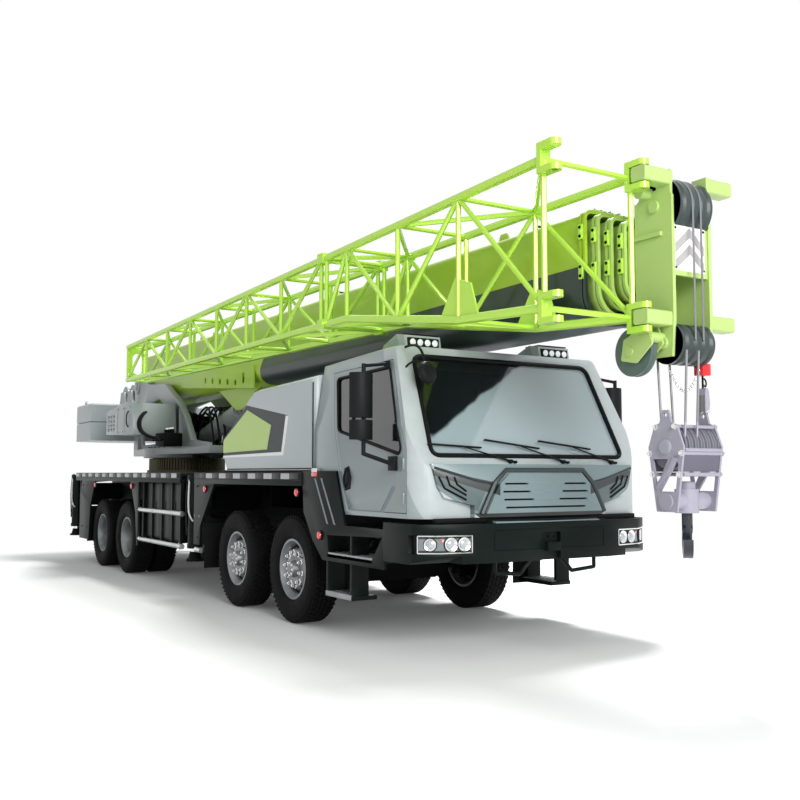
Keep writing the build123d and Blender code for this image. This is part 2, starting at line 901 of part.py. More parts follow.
# Grille panel on the cab's nose, faceted in plan, with its raised middle
with BuildPart() as front_panel:
    cross_plate(
        [
            (-720, cab_floor + 6),
            (720, cab_floor + 6),
            (720, 1235),
            (1000, 1300),
            (1060, 1390),
            (1110, 1575),
            (-1110, 1575),
            (-1060, 1390),
            (-1000, 1300),
            (-720, 1235),
        ],
        cab_front_x - 60,
        grille_x,
    )
    with BuildSketch(Plane.XY.offset(cab_floor - 20)) as plan:
        with BuildLine():
            Polyline(
                (cab_front_x - 80, -1120),
                (cab_front_x + 15, -1120),
                (grille_x, -430),
                (grille_x, 430),
                (cab_front_x + 15, 1120),
                (cab_front_x - 80, 1120),
                close=True,
            )
        make_face()
    extrude(plan.sketch, amount=cab_sill - cab_floor + 40, mode=Mode.INTERSECT)
    grille_outline = [(-640, 1165), (640, 1165), (515, 1395), (400, 1500), (-400, 1500), (-515, 1395)]
    cross_plate(grille_outline, cab_front_x - 20, grille_x + grille_depth)
    slot_rows = ((-450, -200), (-470, -175), (-460, -140), (-440, 440))
    for number, (slot_low, slot_high) in enumerate(slot_rows):
        slot_z = 1412 - slot_pitch * number
        for low, high in {(slot_low, slot_high), (-slot_high, -slot_low)}:
            with BuildSketch(Plane.YZ.offset(grille_x - 6)) as slot:
                with Locations(((low + high) / 2, slot_z)):
                    SlotOverall(high - low, slot_height)
            extrude(slot.sketch, amount=grille_depth + 20, mode=Mode.SUBTRACT)
    add(cab_outside, mode=Mode.SUBTRACT)
save(front_panel.part, "front_panel")

# Bumper, side panels and steps: the cab's dark lower body
bumper_plan = [
    (bumper_tail_x, 0),
    (bumper_tail_x, -body_half),
    (nose_x - 190, -body_half),
    (nose_x - 60, -body_half + 190),
    (nose_x, -body_half + 620),
    (nose_x, 0),
]
with BuildPart() as front_bumper:
    level_plate(bumper_plan, bumper_bottom, bumper_top)
    block(
        bumper_tail_x - 10,
        nose_x - 150,
        -body_half + 60,
        overlap,
        bumper_bottom + 30,
        bumper_top + 20,
        Mode.SUBTRACT,
    )
    # Chin that rises to the sides, and the step on the bumper's top
    side_plate(
        [
            (nose_x - 260, bumper_bottom - overlap),
            (nose_x + overlap, bumper_bottom - overlap),
            (nose_x + overlap, bumper_bottom + 70),
        ],
        -body_half - overlap,
        -body_half + 380,
        Mode.SUBTRACT,
    )
    level_plate(
        [
            (cab_front_x + 6, 0),
            (cab_front_x + 6, -620),
            (nose_x - 40, -560),
            (nose_x - 20, 0),
        ],
        bumper_top - overlap,
        bumper_top + 28,
    )
    # Headlamp recess round the corner
    lamp_plan = [
        (nose_x + 40, -body_half + 475),
        (nose_x + 40, -body_half - 40),
        (nose_x - 250, -body_half - 40),
        (nose_x - 250, -body_half + lamp_recess),
        (nose_x - 205, -body_half + lamp_recess),
        (nose_x - 60 - lamp_recess, -body_half + 205),
        (nose_x - 18 - lamp_recess, -body_half + 475),
    ]
    level_plate(lamp_plan, lamp_middle - lamp_height / 2, lamp_middle + lamp_height / 2, Mode.SUBTRACT)
    # Hanging step of bent bar
    step_y = -345
    step_x = nose_x - 70
    step_points = ((step_y - 200, 800), (step_y - 200, 680), (step_y + 60, 660), (step_y + 190, 800))
    for (y_one, z_one), (y_two, z_two) in zip(step_points, step_points[1:]):
        bar((step_x, y_one, z_one), (step_x, y_two, z_two), 17)
    # Side panel from the hood to the bumper, cut out over the steps
    panel_outer = -body_half + 5
    side_plate(
        [
            (deck_front_x + gap, skirt_bottom - 10),
            (front_axle_x + 442, 1125),
            (front_axle_x + 639, 867),
            (front_axle_x + 848, lower_panel_bottom),
            (bumper_tail_x + 5, lower_panel_bottom),
            (bumper_tail_x + 5, cab_floor - 100),
            (front_axle_x + 1274, cab_floor - 100),
            (front_axle_x + 1098, 1520),
            (deck_front_x + gap, 1520),
        ],
        panel_outer,
        panel_outer + 25,
    )
    side_plate(
        [
            (front_axle_x + 960, 760),
            (front_axle_x + 1760, 760),
            (front_axle_x + 1930, 960),
            (front_axle_x + 940, 930),
        ],
        panel_outer - overlap,
        panel_outer + 25 + overlap,
        Mode.SUBTRACT,
    )
    for tread_z, tread_low_x, tread_high_x, tread_depth in (
        (745, front_axle_x + 930, front_axle_x + 1780, 300),
        (395, front_axle_x + 900, front_axle_x + 1410, 260),
    ):
        tread_inner = panel_outer + tread_depth
        block(tread_low_x, tread_high_x, panel_outer + 4, tread_inner, tread_z - 18, tread_z + 18)
    for hanger_x in (front_axle_x + 930, front_axle_x + 1380):
        side_plate(
            [
                (hanger_x - 18, 380),
                (hanger_x + 18, 380),
                (hanger_x + 18, 1000),
                (hanger_x - 18, 1000),
            ],
            panel_outer + 8,
            panel_outer + 180,
        )
    # Brackets out to the frame's rails
    for bracket_x in (front_axle_x + 760, front_axle_x + 1850):
        block(bracket_x - 30, bracket_x + 30, -rail_half, panel_outer + 10, 950, 1010)
    both_sides()
    # Towing plate with its pin bore
    level_plate(
        [(nose_x - 170, -95), (nose_x + 45, -70), (nose_x + 45, 70), (nose_x - 170, 95)],
        tow_plate_z - 35,
        tow_plate_z + 35,
    )
    rod_z(nose_x + 5, 0, tow_bore_radius, tow_plate_z - 40, tow_plate_z + 40, Mode.SUBTRACT)
    block(nose_x - 40, nose_x + 50, -105, 105, tow_plate_z + 35, tow_plate_z + 120, Mode.SUBTRACT)
    block(nose_x - 40, nose_x + 50, -105, 105, bumper_bottom - 10, tow_plate_z - 35, Mode.SUBTRACT)
save(front_bumper.part, "front_bumper")

# Axles: two steered beams in front, two driven ones behind
kingpin_y = wheel_track / 2 - kingpin_inset
with BuildPart() as axles:
    for axle_x in (front_axle_x, second_axle_x):
        cross_plate(
            [
                (-kingpin_y, axle_height - 80),
                (-kingpin_y + 150, axle_height - 80),
                (-kingpin_y + 330, axle_height - 170),
                (kingpin_y - 330, axle_height - 170),
                (kingpin_y - 150, axle_height - 80),
                (kingpin_y, axle_height - 80),
                (kingpin_y, axle_height + 80),
                (kingpin_y - 150, axle_height + 20),
                (-kingpin_y + 150, axle_height + 20),
                (-kingpin_y, axle_height + 80),
            ],
            axle_x - 50,
            axle_x + 50,
        )
        for side in (-1, 1):
            rod_z(axle_x, side * kingpin_y, 50.5, axle_height - 80, axle_height + 80)
            rod_z(
                axle_x,
                side * kingpin_y,
                kingpin_radius + running_gap,
                axle_height - 200,
                axle_height + 200,
                Mode.SUBTRACT,
            )
            # Leaf spring pack between the beam and the frame rail
            side_plate(
                [
                    (axle_x - spring_half, 810),
                    (axle_x - spring_half / 2, 690),
                    (axle_x - 90, axle_height + 15),
                    (axle_x + 90, axle_height + 15),
                    (axle_x + spring_half / 2, 690),
                    (axle_x + spring_half, 810),
                    (axle_x + spring_half, rail_bottom),
                    (axle_x + spring_half - 60, rail_bottom),
                    (axle_x + spring_half / 2, 740),
                    (axle_x, axle_height + 150),
                    (axle_x - spring_half / 2, 740),
                    (axle_x - spring_half + 60, rail_bottom),
                    (axle_x - spring_half, rail_bottom),
                ],
                side * (rail_half - spring_width),
                side * rail_half,
            )
    for axle_x in (third_axle_x, fourth_axle_x):
        turned(
            axle_x,
            0,
            axle_height,
            [
                (-620, 0),
                (-620, axle_tube_radius),
                (-250, axle_tube_radius),
                (-160, differential_radius - 45),
                (-60, differential_radius),
                (60, differential_radius),
                (160, differential_radius - 45),
                (250, axle_tube_radius),
                (620, axle_tube_radius),
                (620, 0),
            ],
        )
        for side in (-1, 1):
            rod_y(axle_x, axle_height, spindle_radius, side * 600, side * (wheel_track / 2 - 20))
    # Walking beams that join the rear axles under the frame
    for side in (-1, 1):
        side_plate(
            [
                (fourth_axle_x - 120, axle_height + 60),
                (third_axle_x + 120, axle_height + 60),
                (third_axle_x + 60, axle_height + 150),
                (slew_x + 170, axle_height + 260),
                (slew_x + 120, frame_bottom),
                (slew_x - 120, frame_bottom),
                (slew_x - 170, axle_height + 260),
                (fourth_axle_x - 60, axle_height + 150),
            ],
            side * (rail_half - spring_width),
            side * rail_half,
        )
save(axles.part, "axles")

# Steering knuckles, wheels and tyres
tyre_outline = [
    (-rim_width / 2 + rim_lip, rim_radius),
    (-rim_width / 2 + rim_lip, rim_radius + rim_lip),
    (-tyre_width / 2, 400),
    (-tyre_width / 2 + 6, 470),
    (-tyre_crown / 2 - 12, tyre_radius - tyre_shoulder),
    (-tyre_crown / 2 + 12, tyre_radius),
    (tyre_crown / 2 - 12, tyre_radius),
    (tyre_crown / 2 + 12, tyre_radius - tyre_shoulder),
    (tyre_width / 2 - 6, 470),
    (tyre_width / 2, 400),
    (rim_width / 2 - rim_lip, rim_radius + rim_lip),
    (rim_width / 2 - rim_lip, rim_radius),
]


def rim(axle_x, wheel_y, seat, face):
    """A right hand rim: the disc starts at one offset outwards and ends at another."""
    half = rim_width / 2
    inner = rim_radius - rim_wall
    well = rim_radius - rim_well
    outward = [
        (-half, rim_radius + rim_lip),
        (-half, inner),
        (-half + 60, inner - rim_well),
        (seat - disc_thickness, inner - rim_well),
        (face - disc_thickness, inner - 95),
        (face - disc_thickness, hub_radius),
        (face, hub_radius),
        (face, inner - 90),
        (seat + 4, inner - rim_well),
        (half - 60, inner - rim_well),
        (half, inner),
        (half, rim_radius + rim_lip),
        (half - rim_lip, rim_radius + rim_lip),
        (half - rim_lip, rim_radius),
        (half - 60, rim_radius),
        (half - 75, well),
        (-half + 75, well),
        (-half + 60, rim_radius),
        (-half + rim_lip, rim_radius),
        (-half + rim_lip, rim_radius + rim_lip),
    ]
    turned(axle_x, wheel_y, axle_height, [(-offset_out, radius) for offset_out, radius in outward])


def hand_holes(axle_x, y_one, y_two):
    """The ring of holes through a wheel disc."""
    y_low, y_high = sorted((y_one, y_two))
    with BuildSketch(Plane(origin=(axle_x, y_high, axle_height), z_dir=(0, -1, 0))) as ring:
        with PolarLocations(hand_hole_ring, hand_hole_count):
            Circle(hand_hole_radius)
    extrude(ring.sketch, amount=y_high - y_low, mode=Mode.SUBTRACT)


for number, axle_x in ((1, front_axle_x), (2, second_axle_x)):
    wheel_y = -wheel_track / 2
    pin_y = -kingpin_y
    with BuildPart() as knuckle:
        rod_z(axle_x, pin_y, kingpin_radius, axle_height - knuckle_reach, axle_height + knuckle_reach)
        for low, high in ((-knuckle_reach, -88), (88, knuckle_reach)):
            with BuildSketch(Plane.XY.offset(axle_height + low)) as ear:
                with Locations((axle_x, pin_y)):
                    Circle(knuckle_boss)
                with Locations((axle_x, pin_y - 60)):
                    Rectangle(2 * knuckle_boss, 100)
            extrude(ear.sketch, amount=high - low)
        rod_y(axle_x, axle_height, 165, pin_y - 60, pin_y - 100)
        rod_y(axle_x, axle_height, spindle_radius, pin_y - 90, wheel_y - 40)
    save_pair(knuckle.part, f"knuckle_{number}")
    with BuildPart() as tyre:
        turned(axle_x, wheel_y, axle_height, tyre_outline)
    save_pair(tyre.part, f"tyre_{number}")
    with BuildPart() as front_rim:
        rim(axle_x, wheel_y, 20, 95)
        turned(
            axle_x,
            wheel_y,
            axle_height,
            [
                (58, 0),
                (58, hub_radius + 2),
                (-98, hub_radius + 2),
                (-98, hub_cap_radius),
                (-150, hub_cap_radius - 14),
                (-160, 0),
            ],
        )
        hand_holes(axle_x, wheel_y, wheel_y - 100)
        rod_y(axle_x, axle_height, spindle_radius + running_gap, wheel_y + 70, wheel_y - 60, Mode.SUBTRACT)
    save_pair(front_rim.part, f"rim_{number}")

for number, axle_x in ((3, third_axle_x), (4, fourth_axle_x)):
    outer_y = -wheel_track / 2
    inner_y = outer_y + twin_spacing
    middle_y = (outer_y + inner_y) / 2
    with BuildPart() as tyre:
        turned(axle_x, outer_y, axle_height, tyre_outline)
        turned(axle_x, inner_y, axle_height, tyre_outline)
    save_pair(tyre.part, f"tyre_{number}")
    with BuildPart() as twin_rim:
        dish = twin_spacing / 2 - disc_thickness / 2
        rim(axle_x, outer_y, -40, -dish)
        rim(axle_x, inner_y, 40, dish + disc_thickness)
        hand_holes(axle_x, middle_y - 40, middle_y + 40)
        turned(
            axle_x,
            middle_y,
            axle_height,
            [
                (50, 0),
                (50, hub_radius + 2),
                (-70, hub_radius + 2),
                (-70, hub_cap_radius),
                (-190, hub_cap_radius - 20),
                (-190, 0),
            ],
        )
        rod_y(axle_x, axle_height, spindle_radius + running_gap, middle_y + 60, outer_y + 10, Mode.SUBTRACT)
    save_pair(twin_rim.part, f"rim_{number}")

# Outrigger beams and their jacks
for place, box_x in (("front", outrigger_front_x), ("rear", outrigger_rear_x)):
    for name, side in sides.items():
        beam_x = box_x + side * outrigger_box_width / 4
        jack_top = jack_bottom + jack_length
        with BuildPart() as beam:
            block(
                beam_x - beam_width / 2,
                beam_x + beam_width / 2,
                -side * (outrigger_box_half - beam_stub),
                side * jack_y,
                outrigger_box_z - beam_height / 2,
                outrigger_box_z + beam_height / 2,
            )
            # End plate that joins the beam to the jack's casing
            side_low = side * (outrigger_box_half + gap)
            side_high = side * (outrigger_box_half + beam_stub)
            block(
                box_x - outrigger_box_width / 2 + 20,
                box_x + outrigger_box_width / 2 - 20,
                side_low,
                side_high,
                outrigger_box_z - beam_height / 2,
                outrigger_box_z + beam_height / 2,
            )
            rod_z(box_x, side * jack_y, jack_radius, jack_bottom, jack_top)
            rod_z(box_x, side * jack_y, jack_radius + 12, jack_bottom, jack_bottom + 50)
            rod_z(box_x, side * jack_y, jack_radius + 8, jack_top - 60, jack_top)
            rod_z(
                box_x,
                side * jack_y,
                jack_radius - jack_wall,
                jack_bottom - overlap,
                jack_top - 60,
                Mode.SUBTRACT,
            )
        save(beam.part, f"outrigger_{place}_{name}")
        with BuildPart() as jack:
            rod_z(box_x, side * jack_y, jack_rod_radius, float_bottom + 20, jack_top - 80)
            with BuildSketch(Plane.XY.offset(float_bottom)) as pad:
                with Locations((box_x, side * jack_y)):
                    RegularPolygon(float_radius, 8)
            extrude(pad.sketch, amount=30)
            with BuildSketch(Plane.XY.offset(float_bottom + 30)) as cone:
                with Locations((box_x, side * jack_y)):
                    Circle(float_radius - 25)
            extrude(cone.sketch, amount=float_foot, taper=15)
        save(jack.part, f"jack_{place}_{name}")

# Turntable: a round base, a deck that reaches forward and two cheeks that carry the boom's foot
cheek_outer = cheek_inner + cheek_thickness
cheek_outline = [
    (counterweight_front_x + 20, table_top - 60),
    (table_nose_x, table_top - 60),
    (table_nose_x + 5, table_top + 40),
    (front_axle_x - 4873, 1990),
    (front_axle_x - 5180, 2354),
    (front_axle_x - 5475, 2592),
    (front_axle_x - 6157, 2924),
    (front_axle_x - 7093, 2985),
    (foot_x + 130, foot_z + 120),
    (foot_x - 170, foot_z + 140),
    (counterweight_front_x + 20, 2720),
]
cheek_opening = [
    (front_axle_x - 7450, table_top + 70),
    (front_axle_x - 5990, table_top + 90),
    (front_axle_x - 5930, 2228),
    (front_axle_x - 6090, 2478),
    (front_axle_x - 6553, 2704),
    (front_axle_x - 7300, 2640),
]
with BuildPart() as turntable:
    side_plate(cheek_outline, -cheek_inner, -cheek_outer)
    side_plate(cheek_opening, -cheek_inner + overlap, -cheek_outer - overlap, Mode.SUBTRACT, corner=90)
    # Flange along the cheek's sloping front
    front_edge = cheek_outline[3:7]
    for (x_one, z_one), (x_two, z_two) in zip(front_edge, front_edge[1:]):
        turn = atan2(z_two - z_one, x_two - x_one)
        down = (sin(turn) * 22, -cos(turn) * 22)
        side_plate(
            [
                (x_one, z_one),
                (x_two, z_two),
                (x_two - down[0], z_two - down[1]),
                (x_one - down[0], z_one - down[1]),
            ],
            -cheek_inner,
            -cheek_outer - cheek_flange,
        )
    rod_y(foot_x, foot_z, foot_boss_radius, -cheek_inner, -cheek_outer - 25)
    # Ribs on the cheek's outside
    for rib_x in (front_axle_x - 7520, front_axle_x - 5420):
        rib_outer = -cheek_outer - cheek_flange
        block(rib_x - 12, rib_x + 12, -cheek_inner - overlap, rib_outer, table_top - 20, 2500)
    # Equipment housing on the right, with the grille at its back corner
    both_sides()
    rod_z(slew_x, 0, table_radius, table_bottom, table_top)
    level_plate(
        [
            (counterweight_front_x + 20, -cheek_outer),
            (slew_x, -table_radius + 40),
            (slew_x + 900, -cheek_outer - 130),
            (table_nose_x, -cheek_outer),
            (table_nose_x, cheek_outer),
            (slew_x + 900, cheek_outer + 30),
            (operator_rear_x - 40, cheek_outer + 30),
            (slew_x, table_radius - 40),
            (counterweight_front_x + 20, cheek_outer),
        ],
        table_top - 110,
        table_top,
    )
    rod_y(foot_x, foot_z, foot_pin_radius, -cheek_outer - 40, cheek_outer + 40)
    # Well for the luffing cylinder and its foot pin
    block(
        luff_foot_x - 150,
        luff_foot_x + 150,
        -luff_eye_half - gap,
        luff_eye_half + gap,
        table_bottom - overlap,
        table_top + overlap,
        Mode.SUBTRACT,
    )
    block(
        luff_foot_x + 140,
        luff_foot_x + 920,
        -barrel_radius - 30,
        barrel_radius + 30,
        table_bottom - overlap,
        table_top + overlap,
        Mode.SUBTRACT,
    )
    for side in (-1, 1):
        side_plate(
            [
                (luff_foot_x - 190, table_top - overlap),
                (luff_foot_x + 130, table_top - overlap),
                (luff_foot_x + 90, luff_foot_z + 110),
                (luff_foot_x - 90, luff_foot_z + 110),
            ],
            side * (luff_eye_half + gap),
            side * (luff_eye_half + 50),
        )
    rod_y(luff_foot_x, luff_foot_z, luff_pin_radius, -luff_eye_half - 50, luff_eye_half + 50)
    side_plate(
        [
            (housing_rear_x, 2120),
            (housing_front_x + 60, 2080),
            (housing_front_x, 2560),
            (front_axle_x - 5990, 2580),
            (housing_rear_x, 2500),
        ],
        -cheek_outer - 70,
        -housing_outer,
    )
    for arm_x in (front_axle_x - 6700, front_axle_x - 5800):
        block(arm_x - 50, arm_x + 50, -cheek_outer - 150, -cheek_outer + overlap, 2150, 2260)
    grille_step_x = 75.0
    grille_step_z = 68.0
    for column in range(grille_columns):
        for row in range(grille_rows):
            hole_x = housing_rear_x + 130 + grille_step_x * column * 2
            hole_z = 2190 + grille_step_z * row
            block(
                hole_x - 50,
                hole_x + 50,
                -housing_outer - overlap,
                -housing_outer + 30,
                hole_z - 22,
                hole_z + 22,
                Mode.SUBTRACT,
            )
save(turntable.part, "turntable")

# Counterweight: a rounded slab with a step on its top and hanging eyes
with BuildPart() as counterweight:
    level_plate(
        [
            (counterweight_front_x, -counterweight_half),
            (counterweight_rear_x + counterweight_corner, -counterweight_half),
            (counterweight_rear_x, -counterweight_half + counterweight_corner * 2),
            (counterweight_rear_x, counterweight_half - counterweight_corner * 2),
            (counterweight_rear_x + counterweight_corner, counterweight_half),
            (counterweight_front_x, counterweight_half),
        ],
        counterweight_bottom,
        counterweight_top,
    )
    upright = counterweight.edges().filter_by(Axis.Z).group_by(Axis.X)
    fillet(upright[0] + upright[1], 90)
    chamfer(counterweight.faces().sort_by(Axis.Z)[-1].edges(), 25)
    # Seam between the two slabs
    seam_z = (counterweight_bottom + counterweight_top) / 2
    with BuildSketch(Plane.XY.offset(seam_z - 6)) as seam:
        with Locations(((counterweight_rear_x + counterweight_front_x) / 2, 0)):
            Rectangle(counterweight_front_x - counterweight_rear_x + 60, 2 * counterweight_half + 60)
            Rectangle(
                counterweight_front_x - counterweight_rear_x - 120,
                2 * counterweight_half - 120,
                mode=Mode.SUBTRACT,
            )
    extrude(seam.sketch, amount=12, mode=Mode.SUBTRACT)
    for side in (-1, 1):
        with BuildSketch(Plane.XZ.offset(-side * (counterweight_half - 150))) as eye:
            with Locations((counterweight_rear_x + 330, counterweight_top + 20)):
                Circle(70)
                Circle(32, mode=Mode.SUBTRACT)
        extrude(eye.sketch, amount=15, both=True)
save(counterweight.part, "counterweight")

# Winches behind the boom's foot
winch_z = counterweight_top + 200.0
winch_outline = [
    (-winch_half - 60, 0),
    (-winch_half - 60, winch_flange_radius - 110),
    (-winch_half - 20, winch_flange_radius - 110),
    (-winch_half - 20, winch_flange_radius),
    (-winch_half, winch_flange_radius),
    (-winch_half, winch_drum_radius),
    (winch_half, winch_drum_radius),
    (winch_half, winch_flange_radius),
    (winch_half + 20, winch_flange_radius),
    (winch_half + 20, winch_flange_radius - 110),
    (winch_half + 60, winch_flange_radius - 110),
    (winch_half + 60, 0),
]
with BuildPart() as winches:
    for winch_x in (foot_x - 680, foot_x - 1120):
        turned(winch_x, 0, winch_z, winch_outline)
        for side in (-1, 1):
            side_plate(
                [
                    (winch_x - 190, counterweight_top),
                    (winch_x + 190, counterweight_top),
                    (winch_x + 100, winch_z + 80),
                    (winch_x - 100, winch_z + 80),
                ],
                side * (winch_half + 30),
                side * (winch_half + 75),
                corner=20,
            )
save(winches.part, "winches")

# Operator's cab on the turntable's left
operator_front_x = operator_rear_x + operator_length
operator_inner = cheek_outer + cheek_flange + 15
operator_outline = [
    (operator_rear_x, operator_floor),
    (operator_front_x - 120, operator_floor),
    (operator_front_x, operator_floor + 350),
    (operator_front_x - 60, operator_floor + 700),
    (operator_front_x - 380, operator_roof),
    (operator_rear_x, operator_roof),
]
operator_door_outline = [
    (operator_rear_x + 330, operator_floor + 90),
    (operator_front_x - 200, operator_floor + 90),
    (operator_front_x - 110, operator_floor + 360),
    (operator_front_x - 160, operator_floor + 680),
    (operator_front_x - 430, operator_roof - 110),
    (operator_rear_x + 330, operator_roof - 110),
]
operator_hinge_x = operator_rear_x + 350
with BuildPart() as operator_cab:
    side_plate(operator_outline, operator_inner, operator_outer)
    fillet(operator_cab.edges().filter_by(Axis.Y), operator_corner)
    side_plate(
        operator_outline,
        operator_inner + operator_wall,
        operator_outer - operator_wall,
        Mode.SUBTRACT,
        grow=-operator_wall,
        corner=operator_corner - operator_wall,
    )
    side_plate(
        operator_door_outline, operator_outer - 60, operator_outer + 10, Mode.SUBTRACT, grow=door_gap
    )
    cross_plate(
        [
            (operator_inner + 80, operator_floor + 150),
            (operator_outer - 80, operator_floor + 150),
            (operator_outer - 80, operator_roof - 100),
            (operator_inner + 80, operator_roof - 100),
        ],
        operator_front_x - 420,
        operator_front_x + 50,
        Mode.SUBTRACT,
        corner=30,
    )
    # Seat that shows through the glass, and the bearer from the turntable
    side_plate(
        [
            (operator_rear_x + 160, operator_floor + 30),
            (operator_rear_x + 620, operator_floor + 30),
            (operator_rear_x + 760, operator_floor + 420),
            (operator_rear_x + 740, operator_floor + 520),
            (operator_rear_x + 300, operator_floor + 490),
            (operator_rear_x + 200, operator_floor + 1150),
            (operator_rear_x + 100, operator_floor + 1140),
        ],
        operator_inner + 130,
        operator_outer - 130,
    )
    block(
        operator_rear_x + 50,
        slew_x + 890,
        cheek_outer + 30,
        operator_inner + 5,
        table_top - 100,
        table_top - 10,
    )
save(operator_cab.part, "operator_cab")

with BuildPart() as operator_glass:
    # Curved windscreen that follows the nose, just inside its frame
    pane_x = operator_front_x - 16
    side_plate(
        [
            (pane_x - 80, operator_floor + 162),
            (pane_x, operator_floor + 352),
            (pane_x - 60, operator_floor + 698),
            (pane_x - 345, operator_roof - 112),
            (pane_x - 352, operator_roof - 112),
            (pane_x - 66, operator_floor + 698),
            (pane_x - 7, operator_floor + 352),
            (pane_x - 87, operator_floor + 162),
        ],
        operator_inner + 92,
        operator_outer - 92,
    )
save(operator_glass.part, "operator_glass")

with BuildPart() as operator_door:
    side_plate(operator_door_outline, operator_outer - operator_wall, operator_outer)
    # Barrels of the hinges along its rear edge
    for hinge_z in (operator_floor + 220, operator_roof - 330):
        rod_z(operator_hinge_x, operator_outer + 2, 11, hinge_z, hinge_z + 90)
save(operator_door.part, "operator_door")

# Luffing cylinder, at its shortest under the lowered boom
luff_run = Vector(luff_eye_x - luff_foot_x, 0, luff_eye_z - luff_foot_z)
luff_along = luff_run.normalized()


def luff_point(distance):
    """A point on the cylinder's axis, at a distance from its foot pin."""
    return (luff_foot_x + luff_along.X * distance, 0, luff_foot_z + luff_along.Z * distance)


with BuildPart() as luff_barrel:
    rod_y(luff_foot_x, luff_foot_z, 95, -luff_eye_half, luff_eye_half)
    bar(luff_point(170), luff_point(barrel_length), barrel_radius)
    bar(luff_point(40), luff_point(180), luff_eye_half - 2)
    bar(luff_point(barrel_length - 90), luff_point(barrel_length + 10), barrel_radius + 15)
    bar(luff_point(200), luff_point(barrel_length + 20), luff_rod_radius + 3, mode=Mode.SUBTRACT)
    rod_y(luff_foot_x, luff_foot_z, luff_pin_radius + running_gap, -100, 100, Mode.SUBTRACT)
save(luff_barrel.part, "luff_barrel")

with BuildPart() as luff_rod:
    bar(luff_point(260), luff_point(luff_run.length - 60), luff_rod_radius)
    rod_y(luff_eye_x, luff_eye_z, 110, -luff_eye_half - 30, luff_eye_half + 30)
save(luff_rod.part, "luff_rod")


# Boom sections, each inside the one before
def boom_face(x, step, inset=0.0):
    """A rounded cross section of the boom at X, by its place in the nest."""
    half = boom_half - step * boom_step_y - inset
    low = boom_bottom + step * boom_step_z + inset
    high = boom_top - step * boom_step_z - inset
    lower = half * boom_belly
    upper = boom_upper_corner - inset
    with BuildSketch(Plane.YZ.offset(x)) as face:
        with BuildLine():
            Line((-half + upper, high), (half - upper, high))
            RadiusArc((half - upper, high), (half, high - upper), upper)
            Line((half, high - upper), (half, low + lower))
            RadiusArc((half, low + lower), (half - lower, low), lower)
            Line((half - lower, low), (-half + lower, low))
            RadiusArc((-half + lower, low), (-half, low + lower), lower)
            Line((-half, low + lower), (-half, high - upper))
            RadiusArc((-half, high - upper), (-half + upper, high), upper)
        make_face()
    return face.sketch


def boom_skin(step, x_low, x_high):
    """A section's outside between two ends, with a double collar at its front."""
    extrude(boom_face(x_low, step), amount=x_high - x_low)
    for back in (0, collar_width * 0.6):
        collar_x = x_high - collar_width * 0.4 - back
        extrude(boom_face(collar_x, step, -collar_thickness), amount=collar_width * 0.4)


def boom_bore(step, x_low, x_high):
    """The inside of a section, cut out from end to end."""
    extrude(boom_face(x_low, step, boom_wall), amount=x_high - x_low, mode=Mode.SUBTRACT)


plate_top_share = (3150.0, 2924.0)
with BuildPart() as boom_base:
    boom_skin(0, boom_rear_x + 300, boom_end_x)
    # Foot: a tapering end with the pin's bore
    side_plate(
        [
            (boom_rear_x + 310, boom_bottom + 5),
            (boom_rear_x + 310, boom_top - 5),
            (foot_x - 100, foot_z + 190),
            (foot_x - 190, foot_z),
            (foot_x - 100, foot_z - 170),
        ],
        -boom_half + 20,
        boom_half - 20,
    )
    for side in (-1, 1):
        # Holed plates along the belly, which stiffen the boom over the luffing cylinder
        plate_inner = side * (boom_half - overlap)
        plate_outer = side * (boom_half + 14)
        side_plate(
            [
                (holed_plate_rear_x, 2830),
                (holed_plate_front_x, 2618),
                (holed_plate_front_x, plate_top_share[1]),
                (holed_plate_rear_x, plate_top_share[0]),
            ],
            plate_inner,
            plate_outer,
        )
        with BuildSketch(Plane.XZ.offset(-max(plate_inner, plate_outer) - overlap)) as holes:
            for number in range(hole_count):
                with Locations((front_axle_x - 4680 + 287 * number, 2862 - 30 * number)):
                    Circle(42)
            with Locations((front_axle_x - 3250, 2785)):
                SlotOverall(150, 84, rotation=90)
        extrude(holes.sketch, amount=abs(plate_outer - plate_inner) + 2 * overlap, mode=Mode.SUBTRACT)
        # Bracket of the luffing cylinder's eye
        side_plate(
            [
                (luff_eye_x - 900, boom_bottom + 100),
                (luff_eye_x + 800, boom_bottom + 100),
                (luff_eye_x + 300, luff_eye_z - 60),
                (luff_eye_x + 80, luff_eye_z - 140),
                (luff_eye_x - 120, luff_eye_z - 140),
            ],
            side * (boom_half - 160),
            side * (boom_half - 120),
        )
        # Lifting lugs on the boom's top
        for lug_x in (front_axle_x - 5200, front_axle_x + 2300):
            side_plate(
                [
                    (lug_x - 90, boom_top - 10),
                    (lug_x + 90, boom_top - 10),
                    (lug_x + 40, boom_top + 80),
                    (lug_x - 40, boom_top + 80),
                ],
                side * (boom_half - 110),
                side * (boom_half - 130),
            )
    boom_bore(0, boom_rear_x + 315, boom_end_x + 5)
    rod_y(foot_x, foot_z, foot_pin_radius + running_gap, -boom_half - 20, boom_half + 20, Mode.SUBTRACT)
save(boom_base.part, "boom_base")

for step in range(1, section_count - 1):
    with BuildPart() as section:
        rear = boom_rear_x + 340 + section_start * step
        front = boom_end_x + step * collar_pitch
        boom_skin(step, rear, front)
        boom_bore(step, rear - 5, front + 5)
    save(section.part, f"boom_section_{step + 1}")

